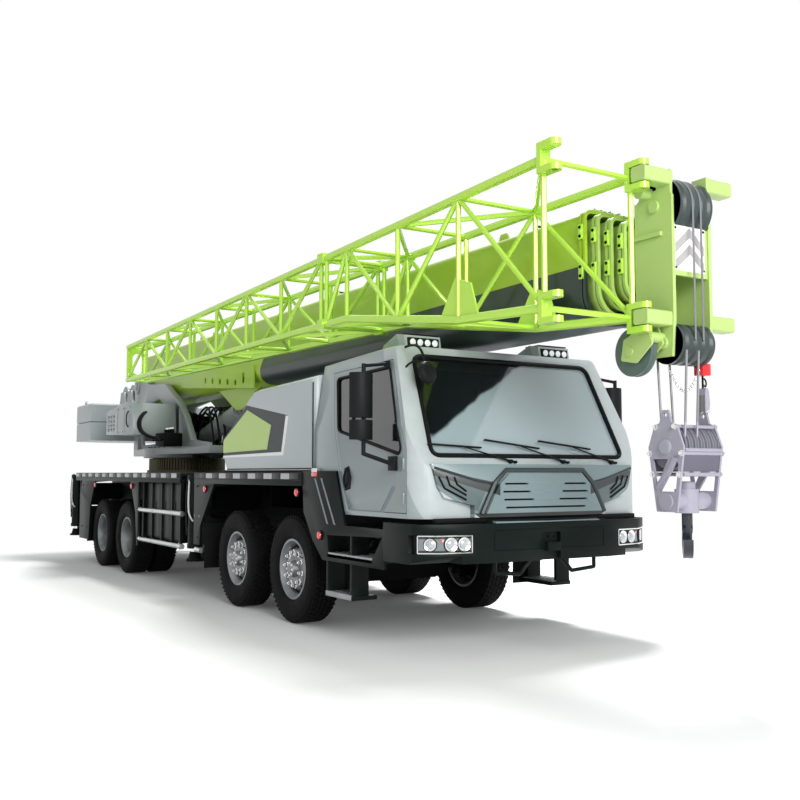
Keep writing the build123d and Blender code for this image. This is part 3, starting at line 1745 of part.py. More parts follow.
# Last section with the boom's head
head_step = section_count - 1
head_top = 3560.0
head_bottom = 2330.0
head_outline = [
    (head_rear_x + 20, 2640),
    (head_rear_x + 20, 3480),
    (head_rear_x + 110, head_top),
    (head_front_x - 50, head_top),
    (head_front_x, head_top - 60),
    (head_front_x, 2600),
    (hook_axis_x + 80, head_bottom),
    (hook_axis_x - 150, head_bottom),
]
with BuildPart() as boom_section_5:
    rear = boom_rear_x + 340 + section_start * head_step
    extrude(boom_face(rear, head_step), amount=head_rear_x + 40 - rear)
    boom_bore(head_step, rear - 5, head_rear_x)
    block(head_rear_x + 20, head_rear_x + 55, -head_half, head_half, 2660, 3500)
    for side in (-1, 1):
        plate_in = side * (head_half - head_plate)
        plate_out = side * head_half
        side_plate(head_outline, plate_in, plate_out)
        # Pocket rib across the cheek, and the boss of the upper pin
        rib_in = plate_out - side * overlap
        block(head_rear_x - 20, head_front_x - 90, rib_in, plate_out + side * 26, 3215, 3245)
        rod_y(head_sheave_x - 70, head_top - 10, 45, plate_in, side * (head_half + 90))
        # Lugs that carry the jib, above and below
        for lug_z in (jib_top_z, jib_bottom_z):
            side_plate(
                [
                    (jib_pin_x - jib_lug_rear, lug_z - jib_lug_half),
                    (jib_pin_x + jib_lug_front, lug_z - jib_lug_half),
                    (jib_pin_x + jib_lug_front, lug_z + jib_lug_half),
                    (jib_pin_x - jib_lug_rear, lug_z + jib_lug_half),
                ],
                side * (head_half - 10),
                side * (jib_pin_y + 45),
                corner=20,
            )
        block(
            jib_pin_x - jib_lug_rear,
            jib_pin_x + jib_lug_front,
            plate_in,
            plate_out,
            head_top - 60,
            jib_top_z + jib_lug_half,
        )
    # Front plate between the cheeks, open at the sheaves above and below
    block(head_front_x - 40, head_front_x - 14, -head_half + 5, head_half - 5, 2920, 3300)
    block(head_rear_x + 30, head_front_x - 30, -head_half + 5, head_half - 5, 2990, 3020)
    stack_half = head_half - head_plate - gap
    sheaves(head_sheave_x, head_sheave_z, head_sheave_radius, sheave_count, stack_half)
    rod_y(head_sheave_x, head_sheave_z, sheave_axle, -head_half - 20, head_half + 20)
    sheaves(hook_axis_x, hook_axis_z, lower_sheave_radius, sheave_count, stack_half)
    rod_y(hook_axis_x, hook_axis_z, sheave_axle, -head_half - 20, head_half + 20)
    # Single side sheave on its arms, low on the right
    side_low = -head_half - 138
    for arm_y in (-head_half - 30, side_low):
        side_plate(
            [
                (hook_axis_x - 20, 2560),
                (hook_axis_x + 30, 2420),
                (side_sheave_x + 60, side_sheave_z - 90),
                (side_sheave_x - 90, side_sheave_z - 60),
                (side_sheave_x - 60, side_sheave_z + 90),
            ],
            arm_y - 8,
            arm_y + 8,
            corner=18,
        )
    rod_y(hook_axis_x - 20, 2470, 40, -head_half + overlap, side_low)
    turned(
        side_sheave_x,
        (-head_half - 30 + side_low) / 2,
        side_sheave_z,
        [
            (-30, 0),
            (-30, side_sheave_radius),
            (-14, side_sheave_radius),
            (0, side_sheave_radius - sheave_groove),
            (14, side_sheave_radius),
            (30, side_sheave_radius),
            (30, 0),
        ],
    )
    rod_y(side_sheave_x, side_sheave_z, 35, -head_half - 10, side_low - 20)
save(boom_section_5.part, "boom_section_5")


# Lattice jib, stowed along the boom's right side
def between(x, x_one, one, x_two, two):
    """A straight line's height at X."""
    return one + (two - one) * (x - x_one) / (x_two - x_one)


def jib_point(x, plane, level):
    """A chord's point: plane 0 is the outer one, 1 the inner; level 0 is low, 1 high."""
    outer = -3 * jib_pin_y
    inner = between(x, jib_tail_x, -jib_tail_inner, jib_pin_x, -jib_pin_y)
    y = outer if plane == 0 else inner
    if level == 1 and x <= jib_crest_x:
        z = between(x, jib_tail_x, jib_tail_top, jib_crest_x, jib_crest_z)
    elif level == 1:
        z = between(x, jib_crest_x, jib_crest_z, jib_pin_x, jib_top_z)
    elif x <= jib_crest_x:
        z = jib_tail_bottom
    elif x <= jib_knee_x:
        z = between(x, jib_crest_x, jib_tail_bottom, jib_knee_x, jib_knee_z)
    else:
        z = between(x, jib_knee_x, jib_knee_z, jib_pin_x, jib_bottom_z)
    return (x, y, z)


jib_foot_x = jib_pin_x - 120
truss_end_x = jib_joint_x - jib_flange
bay = (truss_end_x - jib_tail_x) / jib_bays
truss_stations = [jib_tail_x + bay * number for number in range(jib_bays + 1)]
frame_start_x = jib_joint_x + jib_flange
frame_stations = [frame_start_x, jib_crest_x, (jib_crest_x + jib_knee_x) / 2, jib_knee_x, jib_foot_x]
breaks = [jib_tail_x, jib_crest_x, jib_knee_x, jib_foot_x]

chord_runs = []
brace_runs = []
for plane in (0, 1):
    for level in (0, 1):
        for low, high in zip(breaks, breaks[1:]):
            chord_runs.append((jib_point(low, plane, level), jib_point(high, plane, level)))
for stations in (truss_stations, frame_stations):
    for number, (low, high) in enumerate(zip(stations, stations[1:])):
        flip = number % 2
        for plane in (0, 1):
            brace_runs.append((jib_point(low, plane, flip), jib_point(high, plane, 1 - flip)))
        for level in (0, 1):
            brace_runs.append((jib_point(low, flip, level), jib_point(high, 1 - flip, level)))
    for x in stations:
        for plane in (0, 1):
            brace_runs.append((jib_point(x, plane, 0), jib_point(x, plane, 1)))
        for level in (0, 1):
            brace_runs.append((jib_point(x, 0, level), jib_point(x, 1, level)))

with BuildPart() as jib:
    bars(chord_runs, jib_chord_radius, 8)
    bars(brace_runs, jib_brace_radius, 6)
    # Feet: forks with their pin bores
    for plane_y in (-jib_pin_y, -3 * jib_pin_y):
        for lug_z in (jib_top_z, jib_bottom_z):
            for ear in (-1, 1):
                middle = lug_z + ear * jib_fork_gap
                with BuildSketch(Plane.XY.offset(middle - jib_fork_plate)) as fork:
                    with Locations(((jib_pin_x + jib_foot_x - 20) / 2, plane_y)):
                        Rectangle(140, 90)
                    with Locations((jib_pin_x, plane_y)):
                        Circle(45)
                extrude(fork.sketch, amount=2 * jib_fork_plate)
            block(
                jib_foot_x - 20,
                jib_foot_x + 20,
                plane_y - 45,
                plane_y + 45,
                lug_z - jib_fork_gap - jib_fork_plate,
                lug_z + jib_fork_gap + jib_fork_plate,
            )
            rod_z(jib_pin_x, plane_y, jib_pin_radius, lug_z - 120, lug_z + 120, Mode.SUBTRACT)
    # Gusset plates on the knees, the joint's flanges and the tail's bulkhead
    for plane in (0, 1):
        knee_y = jib_point(jib_knee_x, plane, 0)[1]
        side_plate(
            [
                (jib_knee_x - 260, jib_knee_z + 10),
                (jib_knee_x + 260, jib_knee_z - 15),
                (jib_knee_x + 160, jib_knee_z + 260),
                (jib_knee_x - 40, jib_knee_z + 330),
            ],
            knee_y - 8,
            knee_y + 8,
        )
        crest_y = jib_point(jib_crest_x, plane, 1)[1]
        side_plate(
            [
                (jib_crest_x - 150, jib_crest_z - 10),
                (jib_crest_x, jib_crest_z + 30),
                (jib_crest_x + 170, jib_crest_z + 10),
                (jib_crest_x, jib_crest_z - 150),
            ],
            crest_y - 8,
            crest_y + 8,
        )
        # Flanges where the truss is bolted to the front frame
        for level in (0, 1):
            joint = jib_point(jib_joint_x, plane, level)
            with Locations(joint):
                Box(2 * jib_flange, 96, 96)
                Box(jib_joint_gap, 200, 200, mode=Mode.SUBTRACT)
    tail_inner = jib_point(jib_tail_x, 1, 0)[1]
    tail_outer = jib_point(jib_tail_x, 0, 0)[1]
    block(jib_tail_x - 12, jib_tail_x + 12, tail_outer, tail_inner, jib_tail_bottom, jib_tail_top)
    with BuildSketch(Plane.YZ.offset(jib_tail_x - 20)) as tail_hole:
        with Locations(((tail_inner + tail_outer) / 2, (jib_tail_bottom + jib_tail_top) / 2)):
            SlotOverall(320, 150, rotation=90)
    extrude(tail_hole.sketch, amount=40, mode=Mode.SUBTRACT)
save(jib.part, "jib")

# Hook block hanging from the head on its falls
plate_outline = [
    (hook_axis_x - 55, block_top_z - 90),
    (hook_axis_x - 30, block_top_z),
    (hook_axis_x + 30, block_top_z),
    (hook_axis_x + 55, block_top_z - 90),
    (hook_axis_x + 105, block_top_z - 110),
    (hook_axis_x + block_width / 2, block_axle_z),
    (hook_axis_x + 95, block_bottom_z),
    (hook_axis_x - 95, block_bottom_z),
    (hook_axis_x - block_width / 2, block_axle_z),
    (hook_axis_x - 105, block_top_z - 110),
]
with BuildPart() as hook_block:
    for side in (-1, 1):
        side_plate(plate_outline, side * (block_half - block_plate), side * block_half)
        # Two windows either side of the slanting web, and the hole of the upper eye
        for window in (
            [(-125, 1600), (20, 1600), (-95, 1400)],
            [(-60, 1370), (100, 1590), (115, 1560), (85, 1370)],
        ):
            side_plate(
                [(hook_axis_x + reach, z) for reach, z in window],
                side * (block_half - block_plate - overlap),
                side * (block_half + overlap),
                Mode.SUBTRACT,
            )
        rod_y(
            hook_axis_x,
            block_top_z - 35,
            16,
            side * (block_half - block_plate - overlap),
            side * (block_half + overlap),
            Mode.SUBTRACT,
        )
    inside = block_half - overlap
    sheaves(hook_axis_x, block_axle_z, block_sheave_radius, block_sheaves, inside - block_plate - 6)
    rod_y(hook_axis_x, block_axle_z, sheave_axle, -block_half - 22, block_half + 22)
    # Spacer bars between the plates
    for bar_reach, bar_z in ((90, block_top_z - 120), (148, 1640), (125, 1490)):
        for bar_x in (hook_axis_x - bar_reach, hook_axis_x + bar_reach):
            rod_y(bar_x, bar_z, 14, -block_half - 14, block_half + 14)
    # Crosshead and the hook's swivel
    rod_y(hook_axis_x, block_bottom_z + 75, 62, -inside - 20, inside + 20)
    rod_z(hook_axis_x, 0, 85, block_bottom_z - 10, block_bottom_z + 160)
    rod_z(hook_axis_x, 0, hook_shank, hook_bottom_z + 200, block_bottom_z + 20)
    # Hook: a bowl with an open throat and a nose, turned on its swivel
    hook_plane = Plane(
        origin=(hook_axis_x, 0, hook_bottom_z + hook_bowl),
        x_dir=(cos(radians(hook_turn)), sin(radians(hook_turn)), 0),
        z_dir=(sin(radians(hook_turn)), -cos(radians(hook_turn)), 0),
    )
    with BuildSketch(hook_plane) as hook_face:
        Circle(hook_bowl)
        with Locations((hook_throat_shift, hook_throat_shift)):
            Circle(hook_throat, mode=Mode.SUBTRACT)
        with Locations((hook_bowl - 12, hook_bowl / 2)):
            Rectangle(150, 84, mode=Mode.SUBTRACT)
    extrude(hook_face.sketch, amount=hook_half, both=True)
    # Falls of rope up to the head
    fall_reach = block_sheave_radius - sheave_groove + rope_radius
    fall_top_reach = lower_sheave_radius + rope_radius + gap
    for fall_side, fall_y in ((1, -154), (1, -31), (-1, -93), (-1, 31)):
        bars(
            [
                (
                    (hook_axis_x + fall_side * (fall_reach - 20), fall_y, block_axle_z),
                    (hook_axis_x + fall_side * fall_top_reach, fall_y, hook_axis_z - 60),
                )
            ],
            rope_radius,
            6,
        )
save(hook_block.part, "hook_block")
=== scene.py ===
"""Finishes, fittings, light and camera for a four axle truck crane with a stowed lattice jib."""

import json
import logging
from dataclasses import dataclass
from enum import Enum
from math import atan2, cos, pi, radians, sin, tau
from typing import Iterable, Sequence

import bmesh
import bpy
from mathutils import Matrix, Vector

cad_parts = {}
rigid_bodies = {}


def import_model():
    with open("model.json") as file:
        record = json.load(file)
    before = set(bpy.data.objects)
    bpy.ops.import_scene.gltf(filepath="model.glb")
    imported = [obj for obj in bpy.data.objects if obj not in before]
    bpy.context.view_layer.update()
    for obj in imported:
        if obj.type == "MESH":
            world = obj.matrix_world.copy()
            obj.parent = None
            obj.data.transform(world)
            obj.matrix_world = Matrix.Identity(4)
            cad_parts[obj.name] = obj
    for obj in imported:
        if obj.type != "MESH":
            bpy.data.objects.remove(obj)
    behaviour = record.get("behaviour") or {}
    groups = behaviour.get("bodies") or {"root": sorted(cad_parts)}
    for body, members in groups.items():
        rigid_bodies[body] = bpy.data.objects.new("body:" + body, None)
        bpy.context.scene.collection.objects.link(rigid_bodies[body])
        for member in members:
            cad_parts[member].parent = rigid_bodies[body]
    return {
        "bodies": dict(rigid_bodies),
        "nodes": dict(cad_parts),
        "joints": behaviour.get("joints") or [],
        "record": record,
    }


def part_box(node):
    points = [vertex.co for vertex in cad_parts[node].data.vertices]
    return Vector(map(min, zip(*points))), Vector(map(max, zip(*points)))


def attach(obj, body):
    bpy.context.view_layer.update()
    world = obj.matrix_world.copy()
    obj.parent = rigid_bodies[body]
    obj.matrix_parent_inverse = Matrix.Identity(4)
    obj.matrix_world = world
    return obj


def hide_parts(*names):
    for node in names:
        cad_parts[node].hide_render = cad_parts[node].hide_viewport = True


log = logging.getLogger("crane")

Point = tuple[float, float, float]
Flat = tuple[float, float]
Colour = tuple[float, float, float]

RIGHT = -1
LEFT = 1
SIDE_NAMES = {RIGHT: "right", LEFT: "left"}


class Wire:
    """An output socket that takes part in sums as a plain number does."""

    def __init__(self, board: "Board", socket: bpy.types.NodeSocket) -> None:
        """Hold a socket and the board that it is on."""
        self.board = board
        self.socket = socket

    def math(self, operation: str, first: "Wire | float", second: "Wire | float") -> "Wire":
        """Join two values by a Math node."""
        return self.board.node("ShaderNodeMath", {"operation": operation}, {0: first, 1: second})

    def __add__(self, other: "Wire | float") -> "Wire":
        """Sum of two values."""
        return self.math("ADD", self, other)

    def __radd__(self, other: float) -> "Wire":
        """Sum of a number and a value."""
        return self.math("ADD", other, self)

    def __sub__(self, other: "Wire | float") -> "Wire":
        """Difference of two values."""
        return self.math("SUBTRACT", self, other)

    def __rsub__(self, other: float) -> "Wire":
        """A number less a value."""
        return self.math("SUBTRACT", other, self)

    def __mul__(self, other: "Wire | float") -> "Wire":
        """Product of two values."""
        return self.math("MULTIPLY", self, other)

    def __rmul__(self, other: float) -> "Wire":
        """Product of a number and a value."""
        return self.math("MULTIPLY", other, self)

    def __truediv__(self, other: "Wire | float") -> "Wire":
        """Quotient of two values."""
        return self.math("DIVIDE", self, other)

    def __gt__(self, other: "Wire | float") -> "Wire":
        """One where the value is larger, else nought."""
        return self.math("GREATER_THAN", self, other)

    def __lt__(self, other: "Wire | float") -> "Wire":
        """One where the value is smaller, else nought."""
        return self.math("LESS_THAN", self, other)

    def part(self) -> "Wire":
        """The fraction of a value."""
        return self.math("FRACT", self, 0.0)

    def size(self) -> "Wire":
        """The value without its sign."""
        return self.math("ABSOLUTE", self, 0.0)


class Board:
    """The node board of one finish."""

    front_x = 0.0

    def __init__(self, name: str, world: bpy.types.World | None = None) -> None:
        """Start an empty material with a name, or empty a world."""
        self.material = world or bpy.data.materials.new(name)
        self.material.use_nodes = True
        self.tree = self.material.node_tree
        self.tree.nodes.clear()

    def node(
        self, kind: str, settings: dict | None = None, inputs: dict | None = None, output: int | str = 0
    ) -> Wire:
        """Add any node.

        Args:
            kind: the node's type.
            settings: properties, set before the sockets; "stops" fills a ramp.
            inputs: values or wires by socket name or number.
            output: the socket to hand back.

        Returns:
            The chosen output as a wire.
        """
        made = self.tree.nodes.new(kind)
        for key, value in (settings or {}).items():
            if key == "stops":
                ramp = made.color_ramp
                while len(ramp.elements) < len(value):
                    ramp.elements.new(0.5)
                for element, (position, grey) in zip(ramp.elements, value):
                    element.position = position
                    element.color = (grey, grey, grey, 1.0)
            else:
                setattr(made, key, value)
        for key, value in (inputs or {}).items():
            if isinstance(value, Wire):
                self.tree.links.new(value.socket, made.inputs[key])
            else:
                made.inputs[key].default_value = value
        return Wire(self, made.outputs[output])

    def place(self) -> Wire:
        """The point on the object, in metres."""
        return self.node("ShaderNodeTexCoord", output="Object")

    def axes(self) -> tuple[Wire, Wire, Wire]:
        """The point's three coordinates, the first counted from the front axle."""
        point = self.place()
        split = self.node("ShaderNodeSeparateXYZ", None, {0: point})
        outs = split.socket.node.outputs
        return Wire(self, outs[0]) - self.front_x, Wire(self, outs[1]), Wire(self, outs[2])

    def noise(self, scale: float, detail: float = 3.0, stretch: Point = (1.0, 1.0, 1.0)) -> Wire:
        """Cloudy variation from nought to one.

        Args:
            scale: how many clouds to a metre.
            detail: how fine the clouds break up.
            stretch: how much the clouds are squeezed along each axis.

        Returns:
            The variation as a wire.
        """
        point = self.node("ShaderNodeMapping", None, {"Vector": self.place(), "Scale": stretch})
        return self.node("ShaderNodeTexNoise", None, {"Vector": point, "Scale": scale, "Detail": detail})

    def ramp(self, value: Wire, low: float, high: float) -> Wire:
        """A mask that climbs from nought at low to one at high."""
        return self.node(
            "ShaderNodeMapRange", {"clamp": True}, {"Value": value, "From Min": low, "From Max": high}
        )

    def blend(self, share: Wire | float, one: "Colour | Wire", two: "Colour | Wire") -> Wire:
        """Mix two colours by a share."""
        ends = {6: one, 7: two}
        inputs = {key: value if isinstance(value, Wire) else (*value, 1.0) for key, value in ends.items()}
        inputs[0] = share
        return self.node("ShaderNodeMix", {"data_type": "RGBA"}, inputs, 2)

    def bump(self, height: Wire, distance: float, strength: float = 1.0) -> Wire:
        """A relief from a height, its depth in metres."""
        return self.node(
            "ShaderNodeBump", None, {"Height": height, "Distance": distance, "Strength": strength}
        )

    def surface(self, **sockets: "Wire | float | tuple") -> bpy.types.Material:
        """Finish the board with a Principled shader whose sockets are given by name."""
        inputs = {key.replace("_", " "): value for key, value in sockets.items()}
        shader = self.node("ShaderNodeBsdfPrincipled", None, inputs)
        self.node_out(shader)
        return self.material

    def seen(self) -> Wire:
        """One for a ray that shows the scene straight, mirrored or through glass, else nought."""
        rays = self.node("ShaderNodeLightPath").socket.node.outputs
        seen = Wire(self, rays["Is Camera Ray"])
        for ray in ("Is Transmission Ray", "Is Glossy Ray"):
            seen = seen.math("MAXIMUM", seen, Wire(self, rays[ray]))
        return seen

    def node_out(self, shader: Wire, kind: str = "ShaderNodeOutputMaterial") -> None:
        """Lead a shader to the output."""
        out = self.tree.nodes.new(kind)
        self.tree.links.new(shader.socket, out.inputs["Surface"])


@dataclass(frozen=True)
class Paint:
    """Sprayed metal with faint clouding, dust towards the road and a soft orange peel."""

    name: str
    colour: Colour
    roughness: float = 0.34
    coat: float = 0.35
    dust: float = 0.25
    dust_top: float = 1.3
    clouding: float = 0.10
    specular: float = 0.40

    def tone(self, board: Board) -> Wire:
        """The paint's colour before dust."""
        clouds = board.noise(1.7, 4.0)
        darker = tuple(channel * (1.0 - self.clouding) for channel in self.colour)
        lighter = tuple(min(1.0, channel * (1.0 + self.clouding)) for channel in self.colour)
        return board.blend(clouds, darker, lighter)

    def make(self) -> bpy.types.Material:
        """Build the material."""
        board = Board(self.name)
        height = board.axes()[2]
        low = 1.0 - board.ramp(height, 0.25, self.dust_top)
        grime = board.noise(6.0, 6.0, (1.0, 1.0, 0.35))
        dusty = low * board.ramp(grime, 0.35, 0.75) * self.dust
        streaks = board.ramp(board.noise(14.0, 3.0, (1.0, 1.0, 0.08)), 0.58, 0.80) * (self.dust * 0.35)
        colour = board.blend(dusty, self.tone(board), (0.16, 0.145, 0.125))
        colour = board.blend(streaks, colour, tuple(0.55 * channel for channel in self.colour))
        rough = self.roughness + dusty * 0.5 + streaks * 0.3 + board.noise(3.0) * 0.06
        peel = board.noise(420.0, 2.0)
        return board.surface(
            Base_Color=colour,
            Roughness=rough,
            Specular_IOR_Level=self.specular,
            Coat_Weight=self.coat,
            Coat_Roughness=0.12,
            Normal=board.bump(peel, 0.00025, 0.4),
        )


@dataclass(frozen=True)
class Cut:
    """A half space: the part of a piece past a plane, both sides alike."""

    along: float
    across: float
    height: float
    past: float

    def mask(self, board: Board) -> Wire:
        """One past the plane, else nought."""
        x, y, z = board.axes()
        return (x * self.along + y.size() * self.across + z * self.height) > self.past


@dataclass(frozen=True)
class Disc:
    """A wheel shaped space about a crosswise axis, both sides alike."""

    ahead: float
    height: float
    radius: float
    near: float
    far: float

    def mask(self, board: Board) -> Wire:
        """One inside the space, else nought."""
        x, y, z = board.axes()
        one, two, side = x - self.ahead, z - self.height, y.size()
        inside = (one * one + two * two) < (self.radius * self.radius)
        return inside * (side > self.near) * (side < self.far)


@dataclass(frozen=True)
class Zone:
    """A colour for what lies inside all of its spaces."""

    colour: Colour
    spaces: tuple[Cut | Disc, ...]


@dataclass(frozen=True)
class ZonePaint(Paint):
    """Paint that changes colour inside zones, as a piece of several parts does."""

    zones: tuple[Zone, ...] = ()

    def tone(self, board: Board) -> Wire:
        """The base colour with each zone's colour over it."""
        colour = super().tone(board)
        for zone in self.zones:
            share: Wire | float = 1.0
            for space in zone.spaces:
                share = space.mask(board) * share
            clouds = board.noise(9.0)
            darker = tuple(channel * 0.85 for channel in zone.colour)
            colour = board.blend(share, colour, board.blend(clouds, darker, zone.colour))
        return colour


@dataclass(frozen=True)
class BoomPaint(Paint):
    """Lime paint with a dark field along the boom's lower flank."""

    field: Colour = (0.016, 0.030, 0.027)
    start_x: float = -2.80
    end_x: float = 3.50
    start_z: float = 3.02
    end_z: float = 3.10
    round_off: float = 0.30

    def tone(self, board: Board) -> Wire:
        """Lime above a slanting line and dark below it."""
        along, _, height = board.axes()
        line = self.start_z + board.ramp(along, self.start_x, self.end_x) * (self.end_z - self.start_z)
        short = 1.0 - board.ramp(along, self.start_x, self.start_x + self.round_off)
        below = height < (line - short * short * self.round_off)
        inside = (along > self.start_x) * (along < self.end_x)
        return board.blend(below * inside, super().tone(board), self.field)


@dataclass(frozen=True)
class Rubber:
    """Black rubber, greyed by road dust."""

    name: str
    colour: Colour = (0.0055, 0.0057, 0.0060)
    dust: float = 0.07
    roughness: float = 0.70
    specular: float = 0.10

    def make(self) -> bpy.types.Material:
        """Build the material."""
        board = Board(self.name)
        patches = board.ramp(board.noise(9.0, 6.0), 0.45, 0.8)
        fine = board.noise(260.0, 2.0)
        colour = board.blend(patches * self.dust, self.colour, (0.075, 0.07, 0.062))
        return board.surface(
            Base_Color=colour,
            Roughness=self.roughness + patches * 0.18,
            Specular_IOR_Level=self.specular,
            Normal=board.bump(fine, 0.0004, 0.5),
        )


@dataclass(frozen=True)
class Metal:
    """Bare metal with fine brushing and dull patches."""

    name: str
    colour: Colour
    roughness: float = 0.26
    scratch: Point = (1.0, 30.0, 1.0)
    stain: Colour = (0.10, 0.09, 0.08)
    stained: float = 0.15

    def make(self) -> bpy.types.Material:
        """Build the material."""
        board = Board(self.name)
        grain = board.noise(60.0, 2.0, self.scratch)
        patches = board.ramp(board.noise(5.0, 5.0), 0.5, 0.85)
        colour = board.blend(patches * self.stained, self.colour, self.stain)
        return board.surface(
            Base_Color=colour,
            Metallic=1.0 - patches * (self.stained * 0.8),
            Roughness=self.roughness + patches * 0.2 + grain * 0.08,
            Normal=board.bump(grain, 0.0002, 0.3),
        )


@dataclass(frozen=True)
class Pane:
    """Tinted window glass with a faint film of dust along its lower edge."""

    name: str
    colour: Colour
    cover: float
    low_z: float
    high_z: float
    low_colour: Colour | None = None

    def make(self) -> bpy.types.Material:
        """Build the material."""
        board = Board(self.name)
        height = board.axes()[2]
        share = board.ramp(height, self.low_z, self.high_z)
        film = (1.0 - share) * board.noise(4.0, 5.0) * 0.15
        colour = board.blend(share, self.low_colour or self.colour, self.colour)
        return board.surface(
            Base_Color=colour,
            Roughness=0.04 + film,
            Alpha=self.cover + film * 0.4,
            Coat_Weight=1.0,
            Coat_Roughness=0.02,
            IOR=1.5,
        )


@dataclass(frozen=True)
class Screen:
    """Windscreen whose colour is a painted reflection of a pale sky, painted dark and clearer in its upper
    right corner as the shade inside the cab.
    """

    name: str
    painted_sky_reflection: Colour = (0.325, 0.405, 0.430)
    # clear: near black painted in the upper right corner as the shade inside the cab
    clear: Colour = (0.006, 0.010, 0.010)
    slant: float = 0.584
    start: float = 2.420
    floor: float = 1.84

    def make(self) -> bpy.types.Material:
        """Build the material."""
        board = Board(self.name)
        _, across, height = board.axes()
        ripple = board.noise(3.0, 4.0) * 0.10
        # the upper right corner, past a slanting line, is painted dark as the shade inside the cab
        past = board.ramp(height - across * self.slant + ripple, self.start, self.start + 0.03)
        above = board.ramp(height + ripple, self.floor, self.floor + 0.05)
        dark = past * above
        # painted reflection: the sky colour, a little lighter low down
        pale = board.ramp(height, 1.65, 2.50)
        sky = board.blend(pale, self.painted_sky_reflection, tuple(0.86 * channel for channel in self.painted_sky_reflection))
        return board.surface(
            Base_Color=board.blend(dark, sky, self.clear),
            Roughness=0.05 + board.noise(30.0) * 0.02,
            Alpha=0.94 - dark * 0.34,
            Coat_Weight=1.0,
            Coat_Roughness=0.02,
            IOR=1.5,
        )


@dataclass(frozen=True)
class Lens:
    """Clear or coloured lamp plastic with moulded flutes."""

    name: str
    colour: Colour
    cover: float = 1.0
    glow: float = 0.0
    fluting: float = 0.35

    def make(self) -> bpy.types.Material:
        """Build the material."""
        board = Board(self.name)
        across = board.axes()[1]
        flutes = board.node("ShaderNodeMath", {"operation": "SINE"}, {0: across * 520.0})
        return board.surface(
            Base_Color=board.blend(
                board.noise(40.0), self.colour, tuple(0.8 * part for part in self.colour),
            ), Roughness=0.10, Alpha=self.cover, Coat_Weight=1.0, Emission_Color=(*self.colour, 1.0),
            Emission_Strength=self.glow, Normal=board.bump(flutes, 0.0006, self.fluting),
        )


@dataclass(frozen=True)
class Plastic:
    """Grained moulded plastic or rubber trim."""

    name: str
    colour: Colour
    roughness: float = 0.45
    grain: float = 300.0

    def make(self) -> bpy.types.Material:
        """Build the material."""
        board = Board(self.name)
        leather = board.node(
            "ShaderNodeTexVoronoi", None, {"Vector": board.place(), "Scale": self.grain}
        )
        tone = board.blend(board.noise(8.0), self.colour, tuple(1.25 * part for part in self.colour))
        return board.surface(
            Base_Color=tone,
            Roughness=self.roughness + board.noise(12.0) * 0.1,
            Specular_IOR_Level=0.12,
            Normal=board.bump(leather, 0.0003, 0.5),
        )


@dataclass(frozen=True)
class TreadPlate(Paint):
    """Painted walking surface with raised studs in a slanting grid."""

    pitch: float = 0.04

    def make(self) -> bpy.types.Material:
        """Build the material."""
        board = Board(self.name)
        along, across, _ = board.axes()
        one = ((along + across) / self.pitch).part() - 0.5
        two = ((along - across) / self.pitch).part() - 0.5
        stud = board.ramp(one.size() + two.size() * 0.35, 0.32, 0.18)
        wear = board.ramp(board.noise(7.0, 6.0), 0.45, 0.8)
        colour = board.blend(wear * 0.3, self.tone(board), (0.12, 0.115, 0.105))
        return board.surface(
            Base_Color=colour, Roughness=self.roughness + wear * 0.25, Coat_Weight=self.coat,
            Normal=board.bump(stud, 0.002, 0.5),
        )


SHEAVE_GREY = (0.030, 0.046, 0.043)
ROPE_GREY = (0.20, 0.20, 0.21)
HOOK_BLACK = (0.020, 0.023, 0.032)
# painted shade: near black laid on inner faces and under the raised grille, where shade falls
PAINTED_INSIDE_SHADE = (0.012, 0.014, 0.015)

HEAD_ZONES = (
    Zone(SHEAVE_GREY, (Disc(4.030, 3.440, 0.2165, 0.0, 0.1815),)),
    Zone(SHEAVE_GREY, (Disc(4.090, 2.430, 0.1515, 0.0, 0.1815),)),
    Zone((0.075, 0.115, 0.100), (Disc(3.900, 2.380, 0.1815, 0.257, 0.321),)),
)
HOOK_ZONES = (
    Zone((0.115, 0.110, 0.150), (Disc(4.090, 1.685, 0.1590, 0.0, 0.186),)),
    Zone(ROPE_GREY, (Cut(0, -1, 0, -0.180), Cut(0, 0, 1, 1.860))),
    Zone(HOOK_BLACK, (Cut(0, -1, 0, -0.150), Cut(0, 0, -1, -1.214))),
)
SILVER = (0.450, 0.495, 0.505)
# painted shade for the nose's slopes between the grille and the gills
PAINTED_SLOPE_SHADE = (0.016, 0.025, 0.025)

NOSE_ZONES = (
    # painted shade under the raised grille
    Zone(PAINTED_INSIDE_SHADE, (Cut(0, 0, -1, -1.170), Cut(0, -1, 0, -0.72))),
    Zone(PAINTED_SLOPE_SHADE, (Cut(0, 0.183, -1, -1.3285), Cut(0, -0.28, 1, 1.176), Cut(0, 1, 0, 0.50))),
    # a lighter painted shade round the gills, where the shade of the slopes fades out
    Zone((0.085, 0.120, 0.124), (
        Cut(0, 0.28, -1, -1.176), Cut(0, -0.60, 1, 0.770), Cut(0, 1, 0, 0.62), Cut(0, 1, 0.50, 1.29),
    )),
    Zone(SILVER, (Cut(0, 0.60, -1, -0.732),)),
    Zone(SILVER, (Cut(0, 1, 0, 1.100),)),
)
CAB_ZONES = (
    Zone(SILVER, (Cut(1, 0, 0.47, 2.930),)),
    # the cab shell's inner faces, seen through the glass, painted dark as shade
    Zone(PAINTED_INSIDE_SHADE, (
        Cut(1, 0, 0, 0.655), Cut(0, 0, 1, 1.150), Cut(0, 0, -1, -2.508), Cut(0, -1, 0, -1.215),
        Cut(0, -1, -0.157, -1.508), Cut(-1, 0, -0.470, -3.102), Cut(-1, 0, 0, -2.400),
        Cut(-1, -1, -0.470, -4.210), Cut(-1, -1, 0, -3.460),
    )),
)
